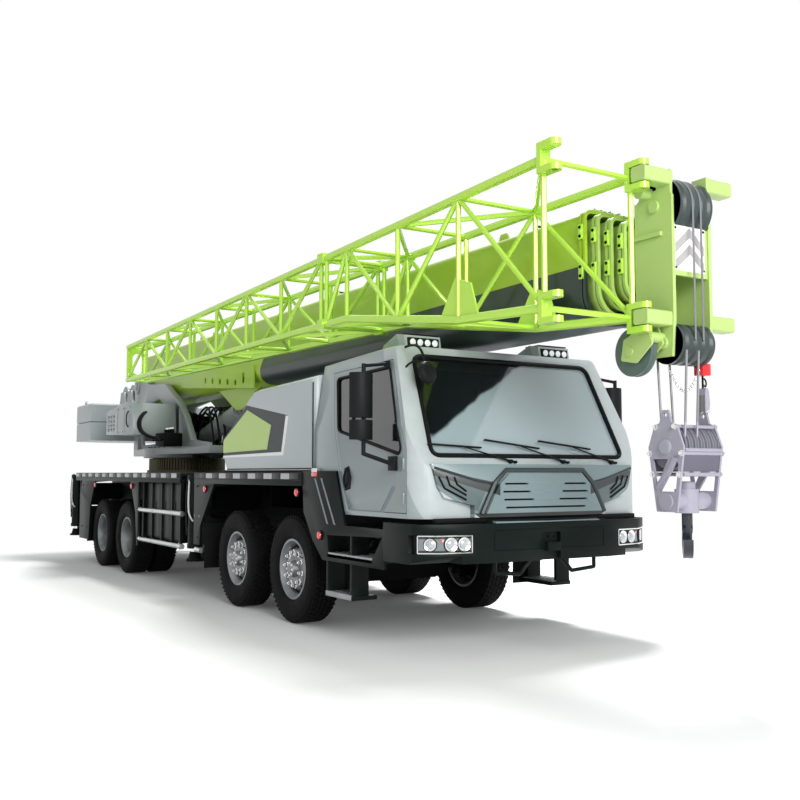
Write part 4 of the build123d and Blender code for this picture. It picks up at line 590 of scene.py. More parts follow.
OPERATOR_ZONES = (
    # the operator cab's inner faces, seen through the glass, painted dark as shade
    Zone(PAINTED_INSIDE_SHADE, (
        Cut(1, 0, 0, -5.945), Cut(-1, 0, 0, 4.90), Cut(0, 1, 0, 0.555), Cut(0, -1, 0, -1.200),
        Cut(0, 0, 1, 1.670), Cut(0, 0, -1, -3.120),
    )),
)


class Coat(Enum):
    """The finishes of the crane's pieces."""

    LIME = Paint("lime_paint", (0.400, 0.520, 0.045), 0.36, 0.20, 0.05, 1.0, 0.07)
    BOOM = BoomPaint("lime_boom_paint", (0.335, 0.505, 0.026), 0.36, 0.20, 0.05, 1.0, 0.07)
    COLLAR = Paint("pale_lime_paint", (0.365, 0.520, 0.125), 0.38, 0.15, 0.05, 1.0, 0.07)
    HEAD = ZonePaint("lime_head_paint", (0.385, 0.525, 0.165), 0.38, 0.15, 0.05, 1.0, 0.07, zones=HEAD_ZONES)
    GREY = Paint("grey_hood_paint", (0.385, 0.432, 0.438), 0.30, 0.30, 0.08, 1.5, 0.06)
    # the cab's grey made darker for the doors: painted shade of the cab's flank
    DOOR = Paint("grey_door_painted_shade", (0.200, 0.244, 0.248), 0.28, 0.40, 0.08, 1.5, 0.08)
    CAB = ZonePaint("grey_shell_paint", (0.285, 0.335, 0.340), 0.28, 0.40, 0.08, 1.5, 0.06, zones=CAB_ZONES)
    OPERATOR = ZonePaint(
        "grey_operator_paint", (0.330, 0.372, 0.378), 0.30, 0.30, 0.08, 1.5, 0.06, zones=OPERATOR_ZONES
    )
    NOSE = ZonePaint("nose_grey_paint", (0.150, 0.205, 0.215), 0.36, 0.30, 0.04, 1.2, 0.08, zones=NOSE_ZONES)
    LIP = Paint("lip_grey_paint", (0.200, 0.255, 0.270), 0.36, 0.30, 0.04, 1.2, 0.08)
    CHEVRON = Paint("chevron_grey_paint", (0.360, 0.345, 0.345), 0.45, 0.10, 0.0, 1.2, 0.05)
    BAND = Paint("slate_band_paint", (0.026, 0.034, 0.036), 0.42, 0.10, 0.04, 1.2, 0.08, 0.3)
    FLASH = Paint("leaf_green_paint", (0.430, 0.590, 0.170), 0.36, 0.20, 0.03, 1.2, 0.05)
    WHITE = Paint("white_line_paint", (0.78, 0.79, 0.80), 0.34, 0.20, 0.05, 1.2, 0.03)
    STRIPE = Paint("blue_grey_stripe", (0.16, 0.20, 0.22), 0.36, 0.20, 0.05, 1.2, 0.05)
    DARK = Paint("dark_green_paint", (0.0026, 0.0062, 0.0052), 0.36, 0.0, 0.01, 0.9, 0.15, 0.11)
    CHASSIS = Paint("chassis_black_paint", (0.0022, 0.0028, 0.0028), 0.55, 0.0, 0.02, 0.9, 0.2, 0.07)
    TABLE = Paint("table_grey_paint", (0.285, 0.318, 0.325), 0.36, 0.25, 0.08, 1.9, 0.09)
    LOCKER = Paint("locker_green_paint", (0.0050, 0.0085, 0.0072), 0.38, 0.0, 0.02, 1.0, 0.12, 0.14)
    HOOK = ZonePaint("lilac_grey_paint", (0.300, 0.290, 0.355), 0.36, 0.25, 0.0, 1.2, 0.08, zones=HOOK_ZONES)
    GUARD = Paint("plum_guard_paint", (0.105, 0.100, 0.135), 0.45, 0.1, 0.0, 1.2, 0.15)
    SHEAVE = Paint("slate_sheave_paint", SHEAVE_GREY, 0.42, 0.15, 0.0, 1.2, 0.12)
    RED = Paint("red_paint", (0.55, 0.012, 0.014), 0.34, 0.4, 0.0, 1.2, 0.08)
    RING = Metal("olive_ring_steel", (0.070, 0.066, 0.040), 0.42, (1.0, 1.0, 8.0), (0.03, 0.02, 0.01), 0.5)
    ALLOY = Metal("bright_alloy", (0.27, 0.28, 0.29), 0.44, (1.0, 40.0, 1.0), (0.05, 0.05, 0.045), 0.5)
    STEEL = Metal("grey_wheel_steel", (0.21, 0.225, 0.225), 0.48, (1.0, 20.0, 1.0), (0.05, 0.05, 0.045), 0.5)
    REFLECTOR = Paint("lamp_reflector", (0.17, 0.19, 0.20), 0.20, 0.6, 0.0, 1.0, 0.3, 0.6)
    CHROME = Metal("rod_chrome", (0.80, 0.81, 0.82), 0.14, (30.0, 30.0, 1.0), (0.3, 0.3, 0.3), 0.05)
    RAIL = Metal("side_rail_alloy", (0.58, 0.60, 0.60), 0.30, (30.0, 1.0, 1.0), (0.2, 0.2, 0.19), 0.2)
    ROPE = Metal("rope_steel", (0.30, 0.30, 0.32), 0.45, (60.0, 60.0, 60.0), (0.10, 0.09, 0.08), 0.4)
    TYRE = Rubber("tyre_rubber")
    SEAL = Rubber("window_seal", (0.0035, 0.0038, 0.0040), 0.04, 0.46)
    HOSE = Rubber("hose_rubber", (0.0050, 0.0052, 0.0056), 0.06, 0.42)
    TRIM = Plastic("black_trim", (0.0070, 0.0082, 0.0090))
    SEAT = Plastic("seat_cloth", (0.035, 0.037, 0.040), 0.8, 900.0)
    DASH = Plastic("dash_plastic", (0.045, 0.048, 0.050), 0.6)
    SCREEN = Screen("windscreen_glass")
    SIDE_PANE = Pane("side_window_glass", (0.008, 0.011, 0.012), 0.86, 1.7, 2.4)
    CAB_PANE = Pane("operator_window_glass", (0.10, 0.13, 0.135), 0.6, 1.7, 3.0)
    MIRROR = Metal("mirror_glass", (0.72, 0.76, 0.78), 0.04, (1.0, 1.0, 1.0), (0.6, 0.6, 0.6), 0.02)
    LAMP = Lens("lit_lamp", (0.90, 0.93, 0.95), 1.0, 0.15)
    BEAM = Lens("headlamp_lens", (0.42, 0.46, 0.48), 1.0, 0.0, 0.2)
    AMBER = Lens("amber_lens", (0.85, 0.28, 0.02))
    RED_LENS = Lens("red_lens", (0.75, 0.02, 0.015), 1.0, 0.12)
    LIGHT_BLOCK = Paint("silver_reflector", (0.42, 0.43, 0.45), 0.36, 0.2, 0.20, 1.8, 0.12)
    DARK_BLOCK = Paint("plum_reflector", (0.020, 0.018, 0.021), 0.40, 0.1, 0.05, 1.8, 0.12, 0.25)
    DECK = TreadPlate("deck_tread_plate", (0.016, 0.020, 0.019), 0.5, 0.05)
    STEP = TreadPlate("step_tread_plate", (0.34, 0.36, 0.36), 0.45, 0.1, pitch=0.05)

    def material(self) -> bpy.types.Material:
        """The finish's material, made once."""
        return bpy.data.materials.get(self.value.name) or self.value.make()


class Plane(Enum):
    """The plane that an outline is drawn in, and the axis that it is carried along."""

    SIDE = (0, 2, 1)
    FRONT = (1, 2, 0)
    LEVEL = (0, 1, 2)


def rounded(points: Sequence[Point], radius: float, steps: int = 4) -> list[Point]:
    """Round the corners of a closed path.

    Args:
        points: the corners, in order.
        radius: how far from each corner the rounding starts.
        steps: points on each corner.

    Returns:
        The path with its corners rounded.
    """
    path = []
    count = len(points)
    for number in range(count):
        before, corner, after = (Vector(points[(number + shift) % count]) for shift in (-1, 0, 1))
        reach = min(radius, (before - corner).length / 2.2, (after - corner).length / 2.2)
        start = corner + (before - corner).normalized() * reach
        end = corner + (after - corner).normalized() * reach
        for step in range(steps + 1):
            share = step / steps
            path.append(
                tuple((1 - share) ** 2 * start + 2 * share * (1 - share) * corner + share ** 2 * end)
            )
    return path


class Shape:
    """A mesh in the making, in the crane's own metres."""

    def __init__(self, *coats: Coat) -> None:
        """Start an empty mesh with its finishes."""
        self.mesh = bmesh.new()
        self.coats = coats
        self.coat = 0

    def use(self, coat: Coat) -> "Shape":
        """Give what is added next another of the shape's finishes."""
        self.coat = self.coats.index(coat)
        return self

    def settle(self, verts: Iterable, bevel: float = 0.0, segments: int = 2, sharp: float = 0.5) -> list:
        """Coat new faces and round their edges.

        Args:
            verts: the new vertices.
            bevel: the width of the rounding, or nought.
            segments: how many steps the rounding has.
            sharp: the least angle between faces whose edge is rounded.

        Returns:
            The vertices as they were given, for shapes without a bevel.
        """
        verts = list(verts)
        faces = {face for vert in verts for face in vert.link_faces}
        for face in faces:
            face.material_index = self.coat
        bmesh.ops.recalc_face_normals(self.mesh, faces=list(faces))
        if bevel:
            edges = {edge for vert in verts for edge in vert.link_edges if edge.calc_face_angle(pi) > sharp}
            bmesh.ops.bevel(
                self.mesh, geom=list(edges), offset=bevel, segments=segments, profile=0.5,
                affect="EDGES", material=-1, clamp_overlap=True,
            )
        return verts

    def box(self, low: Point, high: Point, bevel: float = 0.0, turn: Matrix | None = None) -> "Shape":
        """A block between two corners, turned about its middle if asked."""
        middle = (Vector(low) + Vector(high)) / 2
        size = Vector(high) - Vector(low)
        matrix = Matrix.Translation(middle) @ (turn or Matrix()) @ Matrix.Diagonal((*map(abs, size), 1.0))
        made = bmesh.ops.create_cube(self.mesh, size=1.0, matrix=matrix)
        self.settle(made["verts"], bevel)
        return self

    def plate(
        self, outline: Sequence[Flat], plane: Plane, low: float, high: float, bevel: float = 0.0
    ) -> "Shape":
        """An outline carried from one offset to another.

        Args:
            outline: corners in the plane's two axes.
            plane: the plane that the outline is in.
            low: where it starts on the third axis.
            high: where it ends.
            bevel: the width of its rounded edges.

        Returns:
            The shape itself.
        """
        first, second, third = plane.value
        verts = []
        for one, two in outline:
            spot = [0.0, 0.0, 0.0]
            spot[first], spot[second], spot[third] = one, two, low
            verts.append(self.mesh.verts.new(spot))
        face = self.mesh.faces.new(verts)
        carried = bmesh.ops.extrude_face_region(self.mesh, geom=[face])
        new = [item for item in carried["geom"] if isinstance(item, bmesh.types.BMVert)]
        shift = [0.0, 0.0, 0.0]
        shift[third] = high - low
        bmesh.ops.translate(self.mesh, verts=new, vec=shift)
        self.settle(verts + new, bevel)
        return self

    def rod(
        self, start: Point, end: Point, radius: float, sides: int = 16, tip: float | None = None,
        bevel: float = 0.0,
    ) -> "Shape":
        """A round or many sided bar between two points, tapering to a tip radius if asked."""
        run = Vector(end) - Vector(start)
        turn = run.to_track_quat("Z", "Y").to_matrix().to_4x4()
        matrix = Matrix.Translation((Vector(start) + Vector(end)) / 2) @ turn
        made = bmesh.ops.create_cone(
            self.mesh, cap_ends=True, segments=sides, radius1=radius,
            radius2=radius if tip is None else tip, depth=run.length, matrix=matrix,
        )
        self.settle(made["verts"], bevel, 1, 1.0)
        return self

    def turned(self, origin: Point, axis: Point, profile: Sequence[Flat], steps: int = 32) -> "Shape":
        """A form turned about an axis.

        Args:
            origin: a point on the axis.
            axis: the axis's direction.
            profile: points of (offset along the axis, radius).
            steps: how many steps go round.

        Returns:
            The shape itself.
        """
        along = Vector(axis).normalized()
        out = along.orthogonal().normalized()
        verts = [
            self.mesh.verts.new(Vector(origin) + along * offset + out * max(radius, 1e-5))
            for offset, radius in profile
        ]
        edges = [self.mesh.edges.new(pair) for pair in zip(verts, verts[1:])]
        made = bmesh.ops.spin(
            self.mesh, geom=verts + edges, cent=origin, axis=along, angle=tau, steps=steps, use_merge=True,
        )
        ring = {item for item in made["geom_last"] if isinstance(item, bmesh.types.BMVert)} | set(verts)
        grown = set(ring)
        while ring:
            ring = {other for vert in ring if vert.is_valid for edge in vert.link_edges
                    for other in edge.verts} - grown
            grown |= ring
        kept = [vert for vert in grown if vert.is_valid]
        bmesh.ops.remove_doubles(self.mesh, verts=kept, dist=5e-5)
        self.settle([vert for vert in kept if vert.is_valid])
        return self

    def tube(
        self, points: Sequence[Point], radius: float, sides: int = 8, closed: bool = False,
        smooth: bool = True,
    ) -> "Shape":
        """A round tube that follows points.

        Args:
            points: the points of its path.
            radius: its radius.
            sides: its sides, a multiple of four.
            closed: whether it ends where it starts.
            smooth: whether it curves past its points or runs straight between them.

        Returns:
            The shape itself.
        """
        curve = bpy.data.curves.new("run", "CURVE")
        curve.dimensions = "3D"
        curve.bevel_depth = radius
        curve.bevel_resolution = max(0, sides // 4 - 1)
        curve.resolution_u = 4
        curve.use_fill_caps = not closed
        spline = curve.splines.new("NURBS" if smooth else "POLY")
        spline.points.add(len(points) - 1)
        for knot, point in zip(spline.points, points):
            knot.co = (*point, 1.0)
        spline.use_cyclic_u = closed
        if smooth:
            spline.order_u = 3
            spline.use_endpoint_u = not closed
        holder = bpy.data.objects.new("run", curve)
        run = bpy.data.meshes.new_from_object(holder)
        before = len(self.mesh.verts)
        self.mesh.from_mesh(run)
        self.mesh.verts.ensure_lookup_table()
        self.settle(self.mesh.verts[before:])
        bpy.data.objects.remove(holder)
        bpy.data.curves.remove(curve)
        bpy.data.meshes.remove(run)
        return self

    def bolts(self, spots: Iterable[Point], axis: Point, radius: float, height: float) -> "Shape":
        """Hexagon heads with washers that stand on spots and point along an axis."""
        along = Vector(axis).normalized()
        for spot in spots:
            foot = Vector(spot)
            self.rod(foot, foot + along * height * 0.2, radius * 1.45, 12)
            self.rod(foot, foot + along * height, radius, 6)
        return self


def ring_spots(centre: Point, axis: Point, radius: float, count: int, start: float = 0.0) -> list[Point]:
    """Evenly spaced points on a circle.

    Args:
        centre: the circle's middle.
        axis: the direction that it faces.
        radius: its radius.
        count: how many points.
        start: the first point's angle.

    Returns:
        The points.
    """
    along = Vector(axis).normalized()
    out = along.orthogonal().normalized()
    over = along.cross(out)
    turns = (start + tau * number / count for number in range(count))
    return [tuple(Vector(centre) + (out * cos(turn) + over * sin(turn)) * radius) for turn in turns]


class Workshop:
    """Turns shapes into pieces that ride on the crane, and coats the solid parts."""

    def __init__(self) -> None:
        """Load the crane's solid parts and read its driving places."""
        self.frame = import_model()
        low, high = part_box("tyre_1_right")
        self.front_x = (low[0] + high[0]) / 2
        self.axle_z = (low[2] + high[2]) / 2
        self.tyre_radius = (high[2] - low[2]) / 2
        Board.front_x = self.front_x
        self.softener = self.make_softener()

    def x(self, ahead: float) -> float:
        """A place ahead of the front axle, in the crane's own frame."""
        return self.front_x + ahead

    def make_softener(self) -> bpy.types.NodeTree:
        """Build the group that shades gentle edges smooth and keeps sharp ones."""
        group = bpy.data.node_groups.new("soften", "GeometryNodeTree")
        group.interface.new_socket("Geometry", in_out="INPUT", socket_type="NodeSocketGeometry")
        group.interface.new_socket("Geometry", in_out="OUTPUT", socket_type="NodeSocketGeometry")
        start = group.nodes.new("NodeGroupInput")
        end = group.nodes.new("NodeGroupOutput")
        faces = group.nodes.new("GeometryNodeSetShadeSmooth")
        faces.domain = "FACE"
        edges = group.nodes.new("GeometryNodeSetShadeSmooth")
        edges.domain = "EDGE"
        angle = group.nodes.new("GeometryNodeInputMeshEdgeAngle")
        gentle = group.nodes.new("FunctionNodeCompare")
        gentle.data_type = "FLOAT"
        gentle.operation = "LESS_EQUAL"
        gentle.inputs["B"].default_value = radians(34)
        group.links.new(start.outputs[0], faces.inputs["Geometry"])
        group.links.new(faces.outputs[0], edges.inputs["Geometry"])
        group.links.new(angle.outputs["Unsigned Angle"], gentle.inputs["A"])
        group.links.new(gentle.outputs[0], edges.inputs["Shade Smooth"])
        group.links.new(edges.outputs[0], end.inputs[0])
        return group

    def soften(self, item: bpy.types.Object) -> None:
        """Shade an object's gentle edges smooth."""
        item.modifiers.new("soften", "NODES").node_group = self.softener

    def coat(self, node: str, coat: Coat, edge: float = 0.0) -> None:
        """Dress a solid part.

        Args:
            node: the part's name.
            coat: its finish.
            edge: the width of its rounded edges, or nought.
        """
        item = self.frame["nodes"][node]
        if not item.material_slots:
            item.data.materials.append(None)
        for slot in item.material_slots:
            slot.material = coat.material()
        weld = item.modifiers.new("weld", "WELD")
        weld.merge_threshold = 0.00002
        if edge:
            flat = item.modifiers.new("flat", "DECIMATE")
            flat.decimate_type = "DISSOLVE"
            flat.angle_limit = radians(0.4)
            bevel = item.modifiers.new("edge", "BEVEL")
            bevel.width = edge
            bevel.segments = 2
            bevel.limit_method = "ANGLE"
            bevel.angle_limit = radians(34)
            bevel.use_clamp_overlap = True
        self.soften(item)
        log.info("coated %s with %s", node, coat.value.name)

    def piece(
        self, name: str, shape: Shape, body: str, slot: str, replaces: Sequence[str] = ()
    ) -> bpy.types.Object:
        """Finish a shape as a piece.

        Args:
            name: the piece's name.
            shape: the mesh in the making.
            body: the body that it rides on.
            slot: a material slot of the record; not used.
            replaces: solid parts that it stands for.

        Returns:
            The finished object.
        """
        mesh = bpy.data.meshes.new(name)
        shape.mesh.to_mesh(mesh)
        shape.mesh.free()
        for coat in shape.coats:
            mesh.materials.append(coat.material())
        item = bpy.data.objects.new(name, mesh)
        bpy.context.scene.collection.objects.link(item)
        self.soften(item)
        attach(item, body)
        if replaces:
            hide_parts(*replaces)
        log.info("piece %s: %d faces on %s", name, len(mesh.polygons), body)
        return item


@dataclass
class Assembly:
    """A group of pieces that one workshop makes."""

    shop: Workshop

    def at(self, ahead: float, y: float, z: float) -> Point:
        """A point given by its place ahead of the front axle."""
        return self.shop.x(ahead), y, z

    def outline(self, corners: Iterable[Flat]) -> list[Flat]:
        """Corners seen from the side, each given by its place ahead of the front axle."""
        return [(self.shop.x(ahead), z) for ahead, z in corners]


@dataclass
class Wheels(Assembly):
    """Tyres with their tread, wheel nuts, hub bolts and valves on four axles."""

    axle_steps: tuple[float, ...] = (0.0, -1.45, -5.78, -7.13)
    track_half: float = 1.0475
    twin_step: float = 0.35
    groove_radius: float = 0.526
    lug_count: int = 56
    row_middles: tuple[float, ...] = (-0.102, -0.053, 0.0, 0.053, 0.102)
    row_width: float = 0.040
    nut_ring: float = 0.1675
    nut_count: int = 10
    lug_depth: float = 0.016
    hub_ring: float = 0.058
    hub_count: int = 8
    # painted shade: a black disc behind the steered rims darkens their hand holes
    painted_shade_disc_radius: float = 0.252

    def carcass(self, shape: Shape, centre: Point) -> None:
        """Turn the tyre's body with its bulging side walls and their fine rings."""
        half = [
            (0.112, 0.525), (0.128, 0.520), (0.140, 0.505), (0.150, 0.478), (0.1545, 0.462),
            (0.1562, 0.460), (0.1565, 0.452), (0.1550, 0.450), (0.1572, 0.425), (0.1565, 0.400),
            (0.1530, 0.376), (0.1535, 0.370), (0.1475, 0.350), (0.1360, 0.326), (0.1200, 0.308),
            (0.1130, 0.302), (0.1130, 0.290),
        ]
        profile = [(-offset, radius) for offset, radius in reversed(half)]
        profile += [(0.0, self.groove_radius)] + half
        shape.turned(centre, (0, 1, 0), profile, 64)

    def lugs(self, shape: Shape, centre: Point) -> None:
        """Stand the rows of tread lugs on the crown and the short ribs on the shoulders."""
        step = tau / self.lug_count
        tall = self.shop.tyre_radius - 0.0006
        for number in range(self.lug_count):
            for row, middle in enumerate(self.row_middles):
                turn = Matrix.Rotation((number + 0.5 * (row % 2)) * step, 4, "Y")
                lean = Matrix.Rotation(radians(8 if row % 2 else -8), 4, "Z")
                length = tall * step * (0.80 if row in (0, 4) else 0.86)
                width = self.row_width if row in (0, 4) else self.row_width + 0.004
                place = Matrix.Translation(centre) @ turn @ Matrix.Translation(
                    (0, middle, tall - 0.009)
                ) @ lean
                size = Matrix.Diagonal((length, width, self.lug_depth, 1.0))
                made = bmesh.ops.create_cube(shape.mesh, size=1.0, matrix=place @ size)
                for face in {face for vert in made["verts"] for face in vert.link_faces}:
                    face.material_index = shape.coat
            for side in (RIGHT, LEFT):
                turn = Matrix.Rotation(number * step, 4, "Y")
                place = Matrix.Translation(centre) @ turn @ Matrix.Translation((0, side * 0.1355, 0.503))
                lean = Matrix.Rotation(side * radians(-28), 4, "X")
                size = Matrix.Diagonal((0.022, 0.010, 0.034, 1.0))
                bmesh.ops.create_cube(shape.mesh, size=1.0, matrix=place @ lean @ size)

    def nuts(self, shape: Shape, face: Point, side: int, height: float) -> None:
        """Stand the wheel nuts on their studs round the hub."""
        out = Vector((0, side, 0))
        for spot in ring_spots(face, (0, side, 0), self.nut_ring, self.nut_count, 0.3):
            foot = Vector(spot)
            shape.rod(foot, foot + out * 0.006, 0.027, 16)
            shape.rod(foot, foot + out * height, 0.0185, 6)
            shape.rod(foot + out * height, foot + out * (height + 0.014), 0.011, 10)

    def build(self) -> None:
        """Make every wheel's pieces and coat its rims and knuckles."""
        shop = self.shop
        painted_shade_disc = self.painted_shade_disc_radius
        for number, step in enumerate(self.axle_steps, 1):
            steered = number < 3
            axle_x = shop.x(step)
            for side, name in SIDE_NAMES.items():
                body = f"wheel_{number}_{name}"
                outer = (axle_x, side * self.track_half, shop.axle_z)
                inner = (axle_x, side * (self.track_half - self.twin_step), shop.axle_z)
                tyre = Shape(Coat.TYRE)
                for centre in (outer,) if steered else (outer, inner):
                    self.carcass(tyre, centre)
                    self.lugs(tyre, centre)
                shop.piece(f"tyre_dress_{number}_{name}", tyre, body, "rubber", [f"tyre_{number}_{name}"])
                metal = Coat.ALLOY if steered else Coat.STEEL
                shop.coat(f"rim_{number}_{name}", metal)
                fittings = Shape(metal, Coat.CHROME, Coat.CHASSIS)
                face_y = self.track_half + 0.095 if steered else self.track_half - 0.168
                fittings.use(Coat.CHROME if steered else metal)
                self.nuts(fittings, (axle_x, side * face_y, shop.axle_z), side, 0.034)
                hub_y = self.track_half + (0.150 if steered else 0.002)
                hub = (axle_x, side * hub_y, shop.axle_z)
                fittings.bolts(
                    ring_spots(hub, (0, side, 0), self.hub_ring, self.hub_count), (0, side, 0), 0.009,
                    0.010,
                )
                fittings.use(Coat.CHASSIS)
                # black disc behind the rim: painted shade seen through the hand holes
                if steered:
                    back = (axle_x, side * (self.track_half + 0.040), shop.axle_z)
                    fittings.turned(
                        back, (0, side, 0), [(0, 0.0), (0, painted_shade_disc), (0.004, painted_shade_disc), (0.004, 0.0)], 40,
                    )
                valve = (axle_x + 0.2, side * (face_y + 0.004), shop.axle_z + 0.12)
                fittings.rod(valve, (valve[0] + 0.02, valve[1] + side * 0.05, valve[2] + 0.02), 0.005, 8)
                shop.piece(f"wheel_fittings_{number}_{name}", fittings, body, "alloy")
                if steered:
                    shop.coat(f"knuckle_{number}_{name}", Coat.CHASSIS)


@dataclass
class Carrier(Assembly):
    """Deck, its chequered strip and lamps, side lockers, frame and outriggers."""

    half: float = 1.275
    deck_top: float = 1.505
    strip_low: float = 1.432
    strip_start: float = -8.56
    strip_end: float = 0.40
    notch: tuple[float, float] = (-3.13, -2.59)
    block_pitch: float = 0.212
    lamp_places: tuple[Flat, ...] = (
        (-7.24, 1.31), (-5.21, 1.31), (-2.21, 1.31), (0.31, 1.31), (0.805, 0.92),
    )
    rail_heights: Flat = (0.565, 0.980)
    rail_spans: tuple[Flat, ...] = ((-4.91, -3.12), (-2.58, -2.42))
    locker_count: int = 4
    locker_span: Flat = (-4.86, -3.22)
    locker_heights: Flat = (0.63, 1.36)
    jack_half: float = 1.15
    jack_places: tuple[tuple[str, float], ...] = (("front", -2.86), ("rear", -8.93))

    def coats(self) -> None:
        """Coat the carrier's solid parts."""
        shop = self.shop
        shop.coat("deck", Coat.DARK, 0.004)
        shop.coat("chassis_frame", Coat.CHASSIS, 0.005)
        shop.coat("axles", Coat.CHASSIS)
        shop.coat("slewing_ring", Coat.RING)
        shop.coat("engine", Coat.CHASSIS, 0.02)
        for place in ("front", "rear"):
            for name in SIDE_NAMES.values():
                shop.coat(f"outrigger_{place}_{name}", Coat.DARK, 0.004)
                shop.coat(f"jack_{place}_{name}", Coat.CHASSIS)

    def strip(self, side: int) -> None:
        """Set the light and dark reflector blocks along the deck's edge."""
        shop = self.shop
        at = self.at
        shape = Shape(Coat.LIGHT_BLOCK, Coat.DARK_BLOCK, Coat.DARK)
        face = side * self.half
        count = int((self.strip_end - self.strip_start) / self.block_pitch)
        for number in range(count):
            low = self.strip_start + number * self.block_pitch
            high = low + self.block_pitch
            if high > self.notch[0] and low < self.notch[1]:
                continue
            shape.use(Coat.DARK_BLOCK if number % 2 else Coat.LIGHT_BLOCK)
            inset = 0.012 if number % 2 else 0.004
            shape.box(
                at(low + inset, face - side * 0.004, self.strip_low + 0.008),
                at(high - inset, face + side * 0.003, self.deck_top - 0.006), 0.002,
            )
        shape.use(Coat.DARK)
        for low, high in ((self.strip_start, self.notch[0]), (self.notch[1], self.strip_end)):
            for z in (self.strip_low, self.deck_top - 0.003):
                shape.rod(at(low, face, z), at(high, face, z), 0.005, 8)
        shop.piece(f"edge_strip_{SIDE_NAMES[side]}", shape, "carrier", "dark_paint")

    def lamps(self, side: int) -> None:
        """Fit the round marker lamps on the skirts."""
        shape = Shape(Coat.RED_LENS, Coat.TRIM)
        for ahead, z in self.lamp_places:
            face = side * (self.half - 0.002)
            centre = self.at(ahead, face, z)
            shape.use(Coat.TRIM).turned(
                centre, (0, side, 0), [(0, 0.0), (0, 0.046), (0.010, 0.044), (0.012, 0.038), (0.012, 0)],
                20,
            )
            shape.use(Coat.RED_LENS).turned(
                centre, (0, side, 0),
                [(0.010, 0.037), (0.020, 0.034), (0.026, 0.022), (0.028, 0.0)], 20,
            )
        self.shop.piece(f"marker_lamps_{SIDE_NAMES[side]}", shape, "carrier", "trim")

    def side_fittings(self, side: int) -> None:
        """Bright rails, locker doors with their handles and the panels' bolts."""
        shop = self.shop
        at = self.at
        shape = Shape(Coat.RAIL, Coat.LOCKER, Coat.TRIM, Coat.DARK)
        y = side * (self.half - 0.036)
        for z in self.rail_heights:
            for low, high in self.rail_spans:
                shape.rod(at(low, y, z), at(high, y, z), 0.031, 20, bevel=0.002)
                for end in (low, high):
                    shape.rod((shop.x(end) - 0.012, y, z), (shop.x(end) + 0.012, y, z), 0.034, 20)
        locker_y = side * (self.half - 0.092)
        low_x, high_x = self.locker_span
        low_z, high_z = self.locker_heights
        pitch = (high_x - low_x) / self.locker_count
        for number in range(self.locker_count):
            start = low_x + pitch * number + 0.04
            shape.use(Coat.LOCKER).box(
                at(start, locker_y, low_z), at(start + pitch - 0.08, locker_y + side * 0.010, high_z),
                0.006,
            )
            spot = shop.x(start + 0.05)
            shape.use(Coat.TRIM).box(
                (spot, locker_y + side * 0.008, 1.02), (spot + 0.03, locker_y + side * 0.018, 1.12), 0.004,
            )
        shape.use(Coat.DARK)
        spots = [
            at(ahead, side * (self.half - 0.003), z)
            for ahead, z in (
                (-7.45, 1.30), (-7.75, 1.30), (-8.05, 1.30), (-8.1, 0.6), (-7.75, 0.6), (-5.1, 1.33),
                (-4.93, 0.55), (-2.5, 1.34), (-2.46, 0.72), (-2.1, 1.34),
            )
        ]
        shape.bolts(spots, (0, side, 0), 0.009, 0.008)
        shop.piece(f"side_fittings_{SIDE_NAMES[side]}", shape, "carrier", "dark_paint")

    def walkway(self) -> None:
        """Lay the studded walking plates on the deck."""
        shop = self.shop
        shape = Shape(Coat.DECK)
        for low, high, near, far in (
            (-8.52, -7.25, -1.25, 1.25), (-7.20, -5.70, -1.25, -0.72), (-7.20, -5.70, 0.72, 1.25),
            (-5.66, -3.16, -1.25, 1.25), (-2.56, -1.70, -0.88, 0.88),
        ):
            shape.box(self.at(low, near, self.deck_top), self.at(high, far, self.deck_top + 0.003), 0.0015)
        shop.piece("walking_plates", shape, "carrier", "dark_paint")

    def tail(self) -> None:
        """Fit the tail lamps on their board and the spray guards behind the wheels."""
        shop = self.shop
        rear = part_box("chassis_frame")[0][0]
        shape = Shape(Coat.TRIM, Coat.RED_LENS, Coat.AMBER, Coat.LAMP)
        for side in (RIGHT, LEFT):
            shape.use(Coat.TRIM).box(
                (rear + 0.002, side * 0.50, 0.925), (rear + 0.05, side * 0.86, 1.06), 0.008,
            )
            for number, coat in enumerate((Coat.RED_LENS, Coat.AMBER, Coat.LAMP)):
                shape.use(coat)
                middle = side * (0.56 + 0.12 * number)
                shape.box((rear + 0.0005, middle - 0.05, 0.94), (rear + 0.01, middle + 0.05, 1.045), 0.004)
        shop.piece("tail_lamps", shape, "carrier", "trim")
        guards = Shape(Coat.TYRE, Coat.CHASSIS)
        for side in (RIGHT, LEFT):
            for ahead, wide in ((-7.86, 0.62), (-2.32, 0.32), (0.90, 0.32)):
                inner = side * (self.half - 0.03 - wide)
                guards.use(Coat.TYRE).box(
                    self.at(ahead, side * (self.half - 0.035), 0.36), (shop.x(ahead) + 0.012, inner, 0.92),
                    0.003,
                )
                guards.use(Coat.CHASSIS).box(
                    (shop.x(ahead) - 0.01, side * (self.half - 0.035), 0.90),
                    (shop.x(ahead) + 0.022, inner, 0.95), 0.003,
                )
        shop.piece("spray_guards", guards, "carrier", "chassis_paint")

